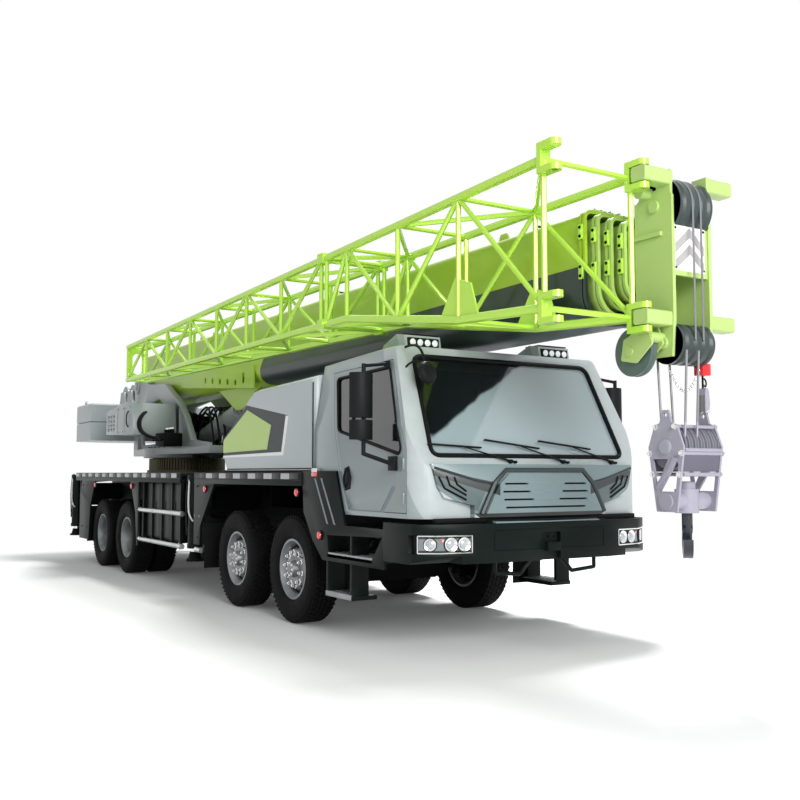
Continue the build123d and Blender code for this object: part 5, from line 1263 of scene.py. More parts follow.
    def jacks(self) -> None:
        """Hoses, clamps and bolts on the outriggers' jacks."""
        shop = self.shop
        for place, ahead in self.jack_places:
            for side, name in SIDE_NAMES.items():
                shape = Shape(Coat.CHROME, Coat.HOSE, Coat.DARK, Coat.WHITE)
                x = shop.x(ahead)
                y = side * self.jack_half
                shape.use(Coat.CHROME).rod((x, y, 0.50), (x, y, 0.57), 0.0625, 24)
                shape.use(Coat.DARK).rod((x, y, 1.40), (x, y, 1.475), 0.112, 24, bevel=0.004)
                shape.bolts(ring_spots((x, y, 1.475), (0, 0, 1), 0.085, 6), (0, 0, 1), 0.011, 0.012)
                shape.bolts(ring_spots((x, y, 0.61), (0, 0, 1), 0.104, 8), (0, 0, 1), 0.007, 0.006)
                shape.use(Coat.WHITE).tube([
                    (x + 0.02, y + side * 0.100, 1.42), (x + 0.035, y + side * 0.112, 1.30),
                    (x + 0.01, y + side * 0.108, 1.12), (x + 0.05, y + side * 0.110, 0.96),
                    (x + 0.10, y + side * 0.070, 0.90),
                ], 0.011)
                shape.use(Coat.HOSE).tube([
                    (x - 0.06, y + side * 0.085, 1.44), (x - 0.09, y + side * 0.100, 1.25),
                    (x - 0.07, y + side * 0.098, 0.95), (x - 0.08, y + side * 0.085, 0.72),
                ], 0.012)
                shape.use(Coat.DARK)
                for z in (0.78, 1.08):
                    shape.rod((x, y, z), (x, y, z + 0.035), 0.101, 24, bevel=0.003)
                shop.piece(f"jack_fittings_{place}_{name}", shape, f"beam_{place}_{name}", "dark_paint")

    def build(self) -> None:
        """Make all of the carrier's pieces."""
        self.coats()
        for side in (RIGHT, LEFT):
            self.strip(side)
            self.lamps(side)
            self.side_fittings(side)
        self.walkway()
        self.tail()
        self.jacks()


@dataclass
class Hood(Assembly):
    """Engine hood with its dark band, leaf green field and white line."""

    half: float = 1.245
    band: tuple[Flat, ...] = (
        (-1.722, 1.700), (-0.098, 1.705), (0.014, 2.087), (-1.060, 2.250), (-1.727, 1.900),
    )
    flash: tuple[Flat, ...] = (
        (-1.720, 1.735), (-0.500, 1.750), (-0.402, 2.004), (-1.030, 2.195), (-1.724, 1.875),
    )

    def build(self) -> None:
        """Make the hood's pieces."""
        shop = self.shop
        at = self.at
        shop.coat("engine_hood", Coat.GREY, 0.008)
        for side, name in SIDE_NAMES.items():
            shape = Shape(Coat.BAND, Coat.FLASH, Coat.WHITE, Coat.SEAL)
            deep = side * (self.half - 0.0085)
            band = self.outline(self.band)
            shape.use(Coat.BAND).plate(band, Plane.SIDE, deep, deep + side * 0.0018)
            flash = self.outline(self.flash)
            shape.use(Coat.FLASH).plate(
                flash, Plane.SIDE, side * (self.half - 0.004), side * (self.half + 0.001),
            )
            shape.use(Coat.WHITE)
            line = (
                (-1.722, 1.690), (-0.086, 1.694), (0.030, 2.088), (-0.030, 2.098), (-0.130, 1.730),
                (-1.722, 1.714),
            )
            shape.plate([(shop.x(a), z - 0.012) for a, z in line], Plane.SIDE, side * (self.half - 0.002),
                        side * (self.half + 0.002))
            shape.use(Coat.SEAL)
            for start, end in (((-1.60, 1.545), (0.58, 1.545)), ((0.584, 1.545), (0.584, 2.38))):
                points = [at(a, side * self.half, z) for a, z in (start, end)]
                shape.rod(*points, 0.006, 8)
            shop.piece(f"hood_panels_{name}", shape, "carrier", "grey_paint")
        vents = Shape(Coat.TRIM, Coat.CHASSIS)
        vents.use(Coat.CHASSIS).box(at(-1.715, -1.2435, 1.5045), at(0.580, 1.2435, 1.5335))
        vents.use(Coat.TRIM)
        for row in range(9):
            x = shop.x(-0.55 + 0.09 * row)
            vents.box((x, -0.55, 2.433), (x + 0.035, 0.55, 2.443), 0.003)
        for row in range(6):
            z = 1.62 + 0.04 * row
            vents.box(at(-1.70, -0.9, z), at(-1.66, 0.9, z + 0.016), 0.003)
        shop.piece("hood_vents", vents, "carrier", "trim")


@dataclass
class Cab(Assembly):
    """Driver's cab: seals, wipers, mirrors, lamps, grille, bumper and steps."""

    half: float = 1.240
    roof_half: float = 1.130
    shoulder: float = 1.900
    roof: float = 2.600
    sill: Flat = (2.390, 1.600)
    brow: Flat = (1.920, 2.600)
    screen: tuple[Flat, ...] = ((-1.060, 1.645), (1.060, 1.645), (0.985, 2.510), (-0.985, 2.510))
    window: tuple[Flat, ...] = (
        (1.095, 1.885), (2.150, 1.655), (2.185, 1.705), (2.095, 1.945), (1.875, 2.415), (0.935, 2.385),
    )
    nose: float = 2.530
    grille_depth: float = 0.022
    hexagon: tuple[Flat, ...] = (
        (-0.640, 1.165), (0.640, 1.165), (0.515, 1.395), (0.400, 1.500), (-0.400, 1.500), (-0.515, 1.395),
    )
    lamp_plan: tuple[Flat, ...] = ((2.432, 1.240), (2.536, 1.083), (2.574, 0.806))
    lamp_heights: Flat = (0.862, 0.998)
    seam_ahead: float = 2.601
    seam_heights: Flat = (0.868, 1.035)
    step_half: float = 1.266
    flank_stripes: tuple[tuple[Flat, Flat], ...] = (
        ((0.670, 1.452), (0.930, 1.032)), ((0.799, 1.453), (1.071, 1.030)),
    )
    stripe_width: float = 0.030

    def screen_x(self, z: float) -> float:
        """The windscreen's place at a height."""
        slope = (self.brow[0] - self.sill[0]) / (self.brow[1] - self.sill[1])
        return self.shop.x(self.sill[0] + slope * (z - self.sill[1]))

    def side_y(self, side: int, z: float) -> float:
        """The cab's flank at a height."""
        lean = max(0.0, z - self.shoulder) / (self.roof - self.shoulder)
        return side * (self.half - lean * (self.half - self.roof_half))

    def nose_x(self, y: float) -> float:
        """The faceted nose's place at a distance from the middle."""
        return self.shop.x(self.nose - max(0.0, abs(y) - 0.43) * (0.085 / 0.69))

    def coats(self) -> None:
        """Coat the cab's solid parts."""
        shop = self.shop
        shop.coat("cab_shell", Coat.CAB, 0.006)
        shop.coat("cab_glass", Coat.SCREEN)
        shop.coat("cab_interior", Coat.SEAT, 0.015)
        shop.coat("front_panel", Coat.NOSE, 0.003)
        shop.coat("front_bumper", Coat.DARK, 0.006)
        for name in SIDE_NAMES.values():
            # the doors take the darker grey, painted shade of the flank
            shop.coat(f"door_{name}", Coat.DOOR, 0.004)
            shop.coat(f"door_glass_{name}", Coat.SIDE_PANE)
            shop.coat(f"mirror_{name}", Coat.TRIM, 0.012)

    def seals(self) -> None:
        """Run the rubber seals round the windscreen and the doors' windows."""
        shop = self.shop
        corners = [(self.screen_x(z) + 0.002, y, z) for y, z in self.screen]
        shape = Shape(Coat.SEAL)
        shape.tube(rounded(corners, 0.085, 5), 0.021, 8, True, False)
        shop.piece("windscreen_seal", shape, "carrier", "trim")
        for side, name in SIDE_NAMES.items():
            shape = Shape(Coat.SEAL)
            corners = [self.at(a, self.side_y(side, z), z) for a, z in self.window]
            shape.tube(rounded(corners, 0.05, 4), 0.012, 8, True, False)
            low = self.at(1.36, self.side_y(side, 1.83), 1.83)
            high = self.at(1.27, self.side_y(side, 2.39), 2.39)
            shape.rod(low, high, 0.014, 8)
            shop.piece(f"window_seal_{name}", shape, f"door_{name}_body", "trim")

    def wipers(self) -> None:
        """Three wipers with double arms at rest on the windscreen."""
        shop = self.shop
        shape = Shape(Coat.TRIM)
        sets = (
            ((-1.081, 1.740), (-0.549, 1.716), (-0.747, 1.723), (-0.279, 1.600)),
            ((-0.490, 1.785), (0.085, 1.717), (-0.190, 1.752), (0.312, 1.600)),
            ((0.104, 1.784), (0.685, 1.718), (0.408, 1.754), (0.888, 1.600)),
        )
        for start, end, tip, pivot in sets:
            ends = [(self.screen_x(z) + 0.022, y, z) for y, z in (start, end)]
            shape.rod(*ends, 0.0075, 8)
            shape.rod(*[(x - 0.012, y, z - 0.004) for x, y, z in ends], 0.005, 6)
            top = (self.screen_x(tip[1]) + 0.032, *tip)
            foot = (self.screen_x(pivot[1]) + 0.030, *pivot)
            shape.rod(foot, top, 0.008, 8, 0.005)
            shape.rod((foot[0], foot[1] + 0.05, foot[2] - 0.005), top, 0.005, 8, 0.004)
            shape.rod(
                (foot[0] - 0.05, foot[1], foot[2]), (foot[0] + 0.012, foot[1], foot[2]), 0.018, 12,
                bevel=0.002,
            )
            shape.rod(
                (foot[0] - 0.05, foot[1] + 0.05, foot[2] - 0.005),
                (foot[0] + 0.008, foot[1] + 0.05, foot[2] - 0.005), 0.012, 12,
            )
        shop.piece("wipers", shape, "carrier", "trim")

    def mirrors(self) -> None:
        """Mirror glass in the door mirrors, and the round mirror over the windscreen's corner."""
        shop = self.shop
        at = self.at
        for side, name in SIDE_NAMES.items():
            shape = Shape(Coat.MIRROR, Coat.TRIM)
            x = shop.x(1.940 - 0.080)
            y = side * (self.half + 0.200)
            for low, high in ((1.965, 2.345), (1.780, 1.945)):
                shape.use(Coat.TRIM).box(
                    (x - 0.008, y - 0.104, low + 0.01), (x + 0.002, y + 0.104, high - 0.01), 0.006,
                )
                shape.use(Coat.MIRROR).box(
                    (x - 0.010, y - 0.092, low + 0.022), (x - 0.006, y + 0.092, high - 0.022),
                )
            shop.piece(f"mirror_glass_{name}", shape, f"door_{name}_body", "trim")
        shape = Shape(Coat.TRIM, Coat.MIRROR)
        centre = at(2.215, -1.015, 2.335)
        axis = (0.72, 0.30, 0.25)
        shape.turned(
            centre, axis,
            [
                (-0.03, 0.0), (-0.03, 0.07), (-0.01, 0.098), (0.022, 0.102), (0.048, 0.085), (0.060, 0.045),
                (0.064, 0.0),
            ], 28,
        )
        shape.tube([at(1.985, -1.075, 2.575), at(2.10, -1.055, 2.600), at(2.19, -1.025, 2.520),
                    at(2.215, -1.015, 2.40)], 0.011)
        shape.tube([at(2.01, -1.085, 2.40), at(2.08, -1.070, 2.46), at(2.17, -1.03, 2.44)], 0.009)
        shop.piece("round_mirror", shape, "carrier", "trim")

    def handles(self) -> None:
        """Door handles on their bezels, and the doors' pressed relief."""
        shop = self.shop
        at = self.at
        for side, name in SIDE_NAMES.items():
            shape = Shape(Coat.TRIM, Coat.STRIPE)
            face = side * self.half
            bezel = [
                (1.225, 1.345), (1.325, 1.365), (1.345, 1.46), (1.300, 1.565), (1.215, 1.545),
                (1.195, 1.44),
            ]
            shape.plate(self.outline(bezel), Plane.SIDE, face - side * 0.012, face + side * 0.004, 0.003)
            shape.tube([
                at(1.24, face + side * 0.006, 1.375), at(1.255, face + side * 0.034, 1.42),
                at(1.27, face + side * 0.034, 1.50), at(1.275, face + side * 0.006, 1.545),
            ], 0.011)
            shape.use(Coat.STRIPE)
            relief = (
                (1.200, 1.134), (1.884, 1.134), (2.116, 1.384), (2.036, 1.384), (1.848, 1.186),
                (1.216, 1.186),
            )
            shape.plate(self.outline(relief), Plane.SIDE, face - side * 0.0065, face - side * 0.004)
            shop.piece(f"door_handle_{name}", shape, f"door_{name}_body", "trim")

    def roof_lamps(self) -> None:
        """Lamp bars with four lights each in the roof's two pods."""
        shop = self.shop
        at = self.at
        shape = Shape(Coat.TRIM, Coat.LAMP, Coat.DARK)
        for side in (RIGHT, LEFT):
            middle = side * 0.76
            shape.use(Coat.DARK).box(
                at(1.56, middle - 0.175, 2.725), at(1.765, middle + 0.175, 2.7365), 0.004,
            )
            shape.use(Coat.TRIM).box(
                at(1.765, middle - 0.165, 2.615), at(1.797, middle + 0.165, 2.700), 0.008,
            )
            for number in range(4):
                y = middle - 0.117 + 0.078 * number
                shape.use(Coat.LAMP).turned(
                    at(1.792, y, 2.657), (1, 0, 0),
                    [(0, 0.030), (0.008, 0.030), (0.014, 0.020), (0.016, 0.0)], 16,
                )
        shop.piece("roof_lamps", shape, "carrier", "trim")

    def grille(self) -> None:
        """Dark frame round the raised grille, black backs behind its slots as painted shade inside them, and
        the three gills on each side.
        """
        shop = self.shop
        at = self.at
        shape = Shape(Coat.BAND, Coat.SEAL)
        face = self.nose + self.grille_depth
        outer = [(y * 1.055, 1.165 + (z - 1.165) * 1.085) for y, z in self.hexagon]
        loop = [at(self.nose + 0.004, y, z) for y, z in outer[1:] + outer[:1]]
        shape.tube(loop, 0.021, 8, False, False)
        shape.use(Coat.SEAL)
        # black backs behind the grille's slots: painted shade inside the openings
        rows = (
            (-0.450, -0.200, 1.412), (-0.470, -0.175, 1.346), (-0.460, -0.140, 1.280),
            (-0.440, 0.440, 1.214),
        )
        for low, high, z in rows:
            spans = [(low, high)] if high > 0 else [(low, high), (-high, -low)]
            for near, far in spans:
                shape.box(
                    at(face - 0.030, near + 0.004, z - 0.006), at(face - 0.026, far - 0.004, z + 0.006),
                )
        gills = (
            ((1.051, 1.472), (0.997, 1.376), (0.800, 1.282)),
            ((0.980, 1.479), (0.950, 1.401), (0.800, 1.320)),
            ((0.910, 1.470), (0.885, 1.410), (0.800, 1.352)),
        )
        for side in (RIGHT, LEFT):
            for gill in gills:
                points = [(self.nose_x(y) + 0.001, side * y, z) for y, z in gill]
                shape.tube(points, 0.009, 8, False, False)
            wedge = [(self.nose_x(y), side * y, z) for y, z in ((1.090, 1.545), (0.70, 1.44), (0.50, 1.405))]
            shape.use(Coat.BAND).tube(wedge, 0.012, 8, False, False)
            shape.use(Coat.SEAL)
        shape.box(at(2.432, -1.10, 1.092), at(2.485, 1.10, 1.134), 0.006)
        shop.piece("grille_trim", shape, "carrier", "panel_paint")

    def headlamps(self) -> None:
        """Lamp clusters that wrap round the bumper's corners."""
        shop = self.shop
        at = self.at
        for side, name in SIDE_NAMES.items():
            shape = Shape(Coat.CHROME, Coat.BEAM, Coat.TRIM, Coat.RED_LENS, Coat.REFLECTOR)
            low, high = self.lamp_heights
            plan = self.lamp_plan
            back = [(x - 0.022, y - 0.012) for x, y in reversed(plan)]
            shape.use(Coat.REFLECTOR).plate(
                [(shop.x(x), side * y) for x, y in [(x - 0.014, y - 0.006) for x, y in plan] + back],
                Plane.LEVEL, low, high,
            )
            shape.use(Coat.TRIM)
            for z in (low, high - 0.018):
                shape.plate(
                    [(shop.x(x), side * y) for x, y in [(x - 0.004, y - 0.002) for x, y in plan] + back],
                    Plane.LEVEL, z, z + 0.018,
                )
            for ahead, y, size in ((2.566, 0.872, 0.053), (2.550, 0.990, 0.053), (2.492, 1.145, 0.046)):
                spot = at(ahead - 0.02, side * y, 0.930)
                axis = (1, side * (0.15 if y < 1.05 else 0.9), 0)
                shape.use(Coat.TRIM).turned(
                    spot, axis, [(0.000, size + 0.010), (0.014, size + 0.010), (0.016, size + 0.002)], 24,
                )
                shape.use(Coat.CHROME).turned(
                    spot, axis, [(0.002, 0.014), (0.006, size * 0.7), (0.016, size), (0.017, size + 0.003)],
                    24,
                )
                shape.use(Coat.BEAM).turned(
                    spot, axis, [(0.0, 0.034), (0.012, 0.032), (0.018, 0.020), (0.021, 0.0)], 20,
                )
            shape.use(Coat.RED_LENS).turned(
                at(2.515, side * 1.062, 0.965), (1, side * 0.3, 0),
                [(0, 0.016), (0.01, 0.014), (0.013, 0.0)], 16,
            )
            shape.use(Coat.CHROME)
            for z in (low, high):
                shape.tube([at(x, side * y, z) for x, y in plan], 0.006, 8, False, False)
            for x, y in (plan[0], plan[-1]):
                shape.rod(at(x, side * y, low), at(x, side * y, high), 0.006, 8)
            shop.piece(f"headlamp_{name}", shape, "carrier", "trim")

    def bumper(self) -> None:
        """The bumper's pale lip, blank plate, seams and bolts."""
        shop = self.shop
        shape = Shape(Coat.LIP, Coat.SEAL, Coat.CHASSIS)
        lip = [(2.500, 1.112), (2.508, 1.119), (2.582, 1.098), (2.586, 1.086), (2.500, 1.086)]
        shape.plate([(shop.x(x), z) for x, z in lip], Plane.SIDE, -0.57, 0.57, 0.004)
        shape.use(Coat.SEAL)
        low, high = self.seam_heights
        seam_x = shop.x(self.seam_ahead)
        for side in (RIGHT, LEFT):
            shape.rod((seam_x, side * 0.60, low), (seam_x, side * 0.60, high), 0.003, 6)
        for z in self.seam_heights:
            for side in (RIGHT, LEFT):
                shape.rod((seam_x, side * 0.60, z), (seam_x, side * 0.11, z), 0.003, 6)
        shape.use(Coat.CHASSIS)
        for y in (-0.03, 0.035):
            shape.rod(self.at(2.59, y, 0.965), self.at(2.605, y, 0.965), 0.009, 10)
        shop.piece("bumper_trim", shape, "carrier", "dark_paint")

    def steps(self) -> None:
        """Pale treads on the boarding steps, and the flank's stripes and reflectors."""
        shop = self.shop
        at = self.at
        for side, name in SIDE_NAMES.items():
            outer = side * self.step_half
            shape = Shape(Coat.STEP, Coat.TRIM, Coat.STRIPE, Coat.RED_LENS, Coat.WHITE)
            for low, high, top, deep in ((0.945, 1.765, 0.763, 0.27), (0.915, 1.395, 0.413, 0.23)):
                shape.use(Coat.STEP).box(
                    at(low, outer, top), at(high, outer - side * deep, top + 0.010), 0.003,
                )
                shape.box(at(low, outer, top - 0.034), at(high, outer + side * 0.004, top + 0.012), 0.003)
                shape.use(Coat.TRIM)
                count = int((high - low) / 0.06)
                for number in range(count):
                    for row in range(3):
                        spot = at(
                            low + 0.035 + 0.06 * number, outer - side * (0.04 + 0.07 * row), top + 0.009,
                        )
                        shape.rod(spot, (spot[0], spot[1], spot[2] + 0.003), 0.014, 10)
            shape.use(Coat.STRIPE)
            for start, end in self.flank_stripes:
                stripe = [
                    start, (start[0] + self.stripe_width, start[1]), (end[0] + self.stripe_width, end[1]),
                    end,
                ]
                shape.plate(self.outline(stripe), Plane.SIDE, side * 1.269, side * 1.2725)
            for number, coat in enumerate((Coat.RED_LENS, Coat.WHITE)):
                shape.use(coat)
                z = 1.470 + 0.04 * number
                shape.box(at(0.612, side * 1.269, z), at(0.725, side * 1.274, z + 0.038), 0.002)
            shop.piece(f"boarding_steps_{name}", shape, "carrier", "dark_paint")

    def inside(self) -> None:
        """Dashboard top, wheel rim and head rests that show through the glass."""
        shop = self.shop
        at = self.at
        shape = Shape(Coat.DASH, Coat.SEAL, Coat.SEAT)
        shape.box(at(2.07, -1.03, 1.600), at(2.28, 1.03, 1.630), 0.010)
        shape.use(Coat.SEAL)
        wheel = Vector(at(1.870, 0.62, 1.750))
        axis = Vector((-240, 0, 200)).normalized()
        shape.tube(
            [tuple(Vector(spot) + axis * 0.014) for spot in ring_spots(wheel, axis, 0.213, 28)], 0.019, 8,
            True,
        )
        shape.use(Coat.SEAT)
        for y in (-0.62, 0.62):
            shape.box(at(0.975, y - 0.17, 2.335), at(1.055, y + 0.17, 2.475), 0.03)
        shop.piece("cab_fittings", shape, "carrier", "trim")

    def build(self) -> None:
        """Make all of the cab's pieces."""
        self.coats()
        self.seals()
        self.wipers()
        self.mirrors()
        self.handles()
        self.roof_lamps()
        self.grille()
        self.headlamps()
        self.bumper()
        self.steps()
        self.inside()


@dataclass
class UpperWorks(Assembly):
    """Turntable, counterweight, winches, operator's cab and the luffing cylinder."""

    slew: float = -6.455
    ring_radius: float = 0.62
    ring_count: int = 36
    drums: Flat = (-8.430, -8.870)
    rope_turns: int = 30
    door_pane_y: float = 1.230

    def coats(self) -> None:
        """Coat the solid parts."""
        shop = self.shop
        shop.coat("turntable", Coat.TABLE, 0.005)
        shop.coat("counterweight", Coat.TABLE)
        shop.coat("winches", Coat.TABLE)
        shop.coat("operator_cab", Coat.OPERATOR, 0.006)
        shop.coat("operator_glass", Coat.CAB_PANE)
        shop.coat("operator_door", Coat.GREY, 0.004)
        shop.coat("luff_barrel", Coat.TABLE)
        shop.coat("luff_rod", Coat.CHROME)

    def ring(self) -> None:
        """Bolts round the slewing ring."""
        shop = self.shop
        shape = Shape(Coat.CHASSIS)
        centre = self.at(self.slew, 0, 1.900)
        shape.bolts(
            ring_spots(centre, (0, 0, 1), self.ring_radius, self.ring_count), (0, 0, 1), 0.014, 0.018,
        )
        shop.piece("table_bolts", shape, "upper", "table_paint")

    def hoses(self) -> None:
        """Hydraulic hoses and the valve bank between the cheeks and beside them."""
        shop = self.shop
        at = self.at
        shape = Shape(Coat.HOSE, Coat.CHASSIS, Coat.CHROME)
        for number in range(7):
            y = -0.30 + 0.1 * number
            sway = 0.05 * sin(number * 2.1)
            shape.tube([
                at(-5.55, y, 1.92), at(-5.42 + sway, y, 2.15), at(-5.30, y * 0.8, 2.40 + sway),
                at(-5.05 + sway, y * 0.7, 2.52), at(-4.75, y * 0.9, 2.42), at(-4.55, y, 2.10),
                at(-4.50, y, 1.92),
            ], 0.017)
        for number in range(3):
            x = -5.52 + 0.06 * number
            shape.tube([
                at(x, -1.02, 2.42), at(x + 0.05, -1.13, 2.34), at(x + 0.03, -1.12, 2.14),
                at(x + 0.08, -0.98, 2.04), at(x + 0.12, -0.80, 2.02), at(x + 0.1, -0.62, 1.92),
            ], 0.016)
        shape.use(Coat.CHASSIS).box(at(-6.30, -0.30, 1.905), at(-5.86, 0.30, 2.16), 0.02)
        shape.box(at(-6.22, -0.22, 2.16), at(-5.98, 0.06, 2.44), 0.02)
        for y in (-0.24, 0.0, 0.24):
            shape.rod(at(-5.86, y, 2.03), at(-5.74, y, 2.03), 0.075, 20, bevel=0.006)
        shape.rod(at(-6.12, 0.20, 2.16), at(-6.12, 0.20, 2.42), 0.09, 20, bevel=0.006)
        shape.use(Coat.HOSE)
        for number in range(6):
            y = -0.32 + 0.11 * number
            lift = 0.06 * sin(number * 1.7)
            shape.tube([
                at(-5.76, y, 2.04), at(-5.64, y, 2.10 + lift), at(-5.66, y * 0.9, 2.32 + lift),
                at(-5.86, y * 0.8, 2.46), at(-6.10, y * 0.9, 2.44 + lift), at(-6.26, y, 2.20),
            ], 0.018)
        shape.use(Coat.CHASSIS).box(at(-5.58, 0.335, 1.905), at(-4.50, 0.365, 2.560), 0.010)
        shape.box(at(-5.50, -0.85, 1.905), at(-5.10, -0.56, 2.10), 0.012)
        for number in range(5):
            x = shop.x(-5.46 + 0.08 * number)
            shape.rod((x, -0.70, 2.10), (x, -0.70, 2.16), 0.022, 12, bevel=0.002)
            shape.rod((x, -0.85, 2.00), (x, -0.90, 2.00), 0.018, 12)
        shape.use(Coat.CHROME)
        for number in range(5):
            x = shop.x(-5.46 + 0.08 * number)
            shape.rod((x, -0.70, 2.16), (x, -0.70, 2.185), 0.012, 6)
        shop.piece("hydraulic_hoses", shape, "upper", "trim")

    def housing(self) -> None:
        """Dark backing behind the vent as painted shade of its inside, hinge strips, bolts and handle of the
        equipment housing.
        """
        shop = self.shop
        at = self.at
        shape = Shape(Coat.SEAL, Coat.TABLE, Coat.TRIM)
        # black sheet behind the vent: painted shade inside the housing
        shape.box(at(-6.930, -1.1625, 2.155), at(-6.490, -1.1570, 2.430))
        shape.use(Coat.TABLE)
        for ahead in (-6.35, -5.98):
            shape.box(at(ahead, -1.1905, 2.12), (shop.x(ahead) + 0.012, -1.194, 2.52), 0.002)
        shape.bolts(
            [at(a, -1.190, z) for a in (-6.30, -6.04, -5.93, -5.65) for z in (2.14, 2.50)], (0, -1, 0),
            0.010, 0.008,
        )
        shape.use(Coat.TRIM).tube(
            [
                at(-5.75, -1.19, 2.20), at(-5.75, -1.225, 2.22), at(-5.75, -1.225, 2.42),
                at(-5.75, -1.19, 2.44),
            ], 0.010,
        )
        shop.piece("housing_fittings", shape, "upper", "table_paint")

    def ropes(self) -> None:
        """Rope wound on the two winch drums."""
        shop = self.shop
        shape = Shape(Coat.ROPE)
        low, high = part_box("winches")
        middle_z = (low[2] + high[2]) / 2
        for ahead in self.drums:
            profile = [(-0.329, 0.136)]
            for number in range(self.rope_turns):
                start = -0.328 + 0.656 * number / self.rope_turns
                profile += [(start + 0.004, 0.158), (start + 0.011, 0.163), (start + 0.018, 0.158)]
            profile.append((0.329, 0.136))
            shape.turned(self.at(ahead, 0, middle_z), (0, 1, 0), profile, 32)
        shop.piece("winch_ropes", shape, "upper", "table_paint")

    def operator(self) -> None:
        """Panes, seals, door handle and roof lamps of the operator's cab."""
        shop = self.shop
        low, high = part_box("operator_door")
        shape = Shape(Coat.TRIM, Coat.SIDE_PANE, Coat.SEAL)
        y = self.door_pane_y
        for pane in (
            ((-5.575, 2.320), (-4.645, 2.320), (-4.890, 2.975), (-5.575, 2.975)),
            ((-5.575, 1.800), (-4.660, 1.800), (-4.590, 2.010), (-4.622, 2.240), (-5.575, 2.240)),
        ):
            shape.use(Coat.SIDE_PANE).plate(self.outline(pane), Plane.SIDE, y - 0.002, y + 0.002)
            corners = [self.at(a, y + 0.001, z) for a, z in pane]
            shape.use(Coat.SEAL).tube(rounded(corners, 0.03, 4), 0.009, 8, True, False)
        shape.use(Coat.TRIM).tube(
            [
                (high[0] - 0.30, y, low[2] + 0.55), (high[0] - 0.30, y + 0.03, low[2] + 0.56),
                (high[0] - 0.30, y + 0.03, low[2] + 0.74), (high[0] - 0.30, y, low[2] + 0.75),
            ], 0.011,
        )
        shop.piece("operator_handle", shape, "operator_door_body", "glass")
        cab_low, cab_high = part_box("operator_cab")
        trim = Shape(Coat.TRIM, Coat.LAMP)
        trim.tube(
            [
                (cab_high[0] - 0.42, cab_low[1] + 0.1, cab_high[2] - 0.02),
                (cab_high[0] - 0.40, cab_low[1] + 0.1, cab_high[2] + 0.05),
                (cab_high[0] - 0.40, cab_high[1] - 0.1, cab_high[2] + 0.05),
                (cab_high[0] - 0.42, cab_high[1] - 0.1, cab_high[2] - 0.02),
            ], 0.012,
        )
        for y in (cab_low[1] + 0.16, cab_high[1] - 0.16):
            trim.use(Coat.TRIM).rod(
                (cab_high[0] - 0.45, y, cab_high[2] + 0.055), (cab_high[0] - 0.37, y, cab_high[2] + 0.055),
                0.045, 18, bevel=0.004,
            )
            trim.use(Coat.LAMP).rod(
                (cab_high[0] - 0.372, y, cab_high[2] + 0.055),
                (cab_high[0] - 0.366, y, cab_high[2] + 0.055), 0.037, 18,
            )
            trim.use(Coat.TRIM)
        shop.piece("operator_lamps", trim, "upper", "grey_paint")

    def build(self) -> None:
        """Make all of the upper part's pieces."""
        self.coats()
        self.ring()
        self.hoses()
        self.housing()
        self.ropes()
        self.operator()


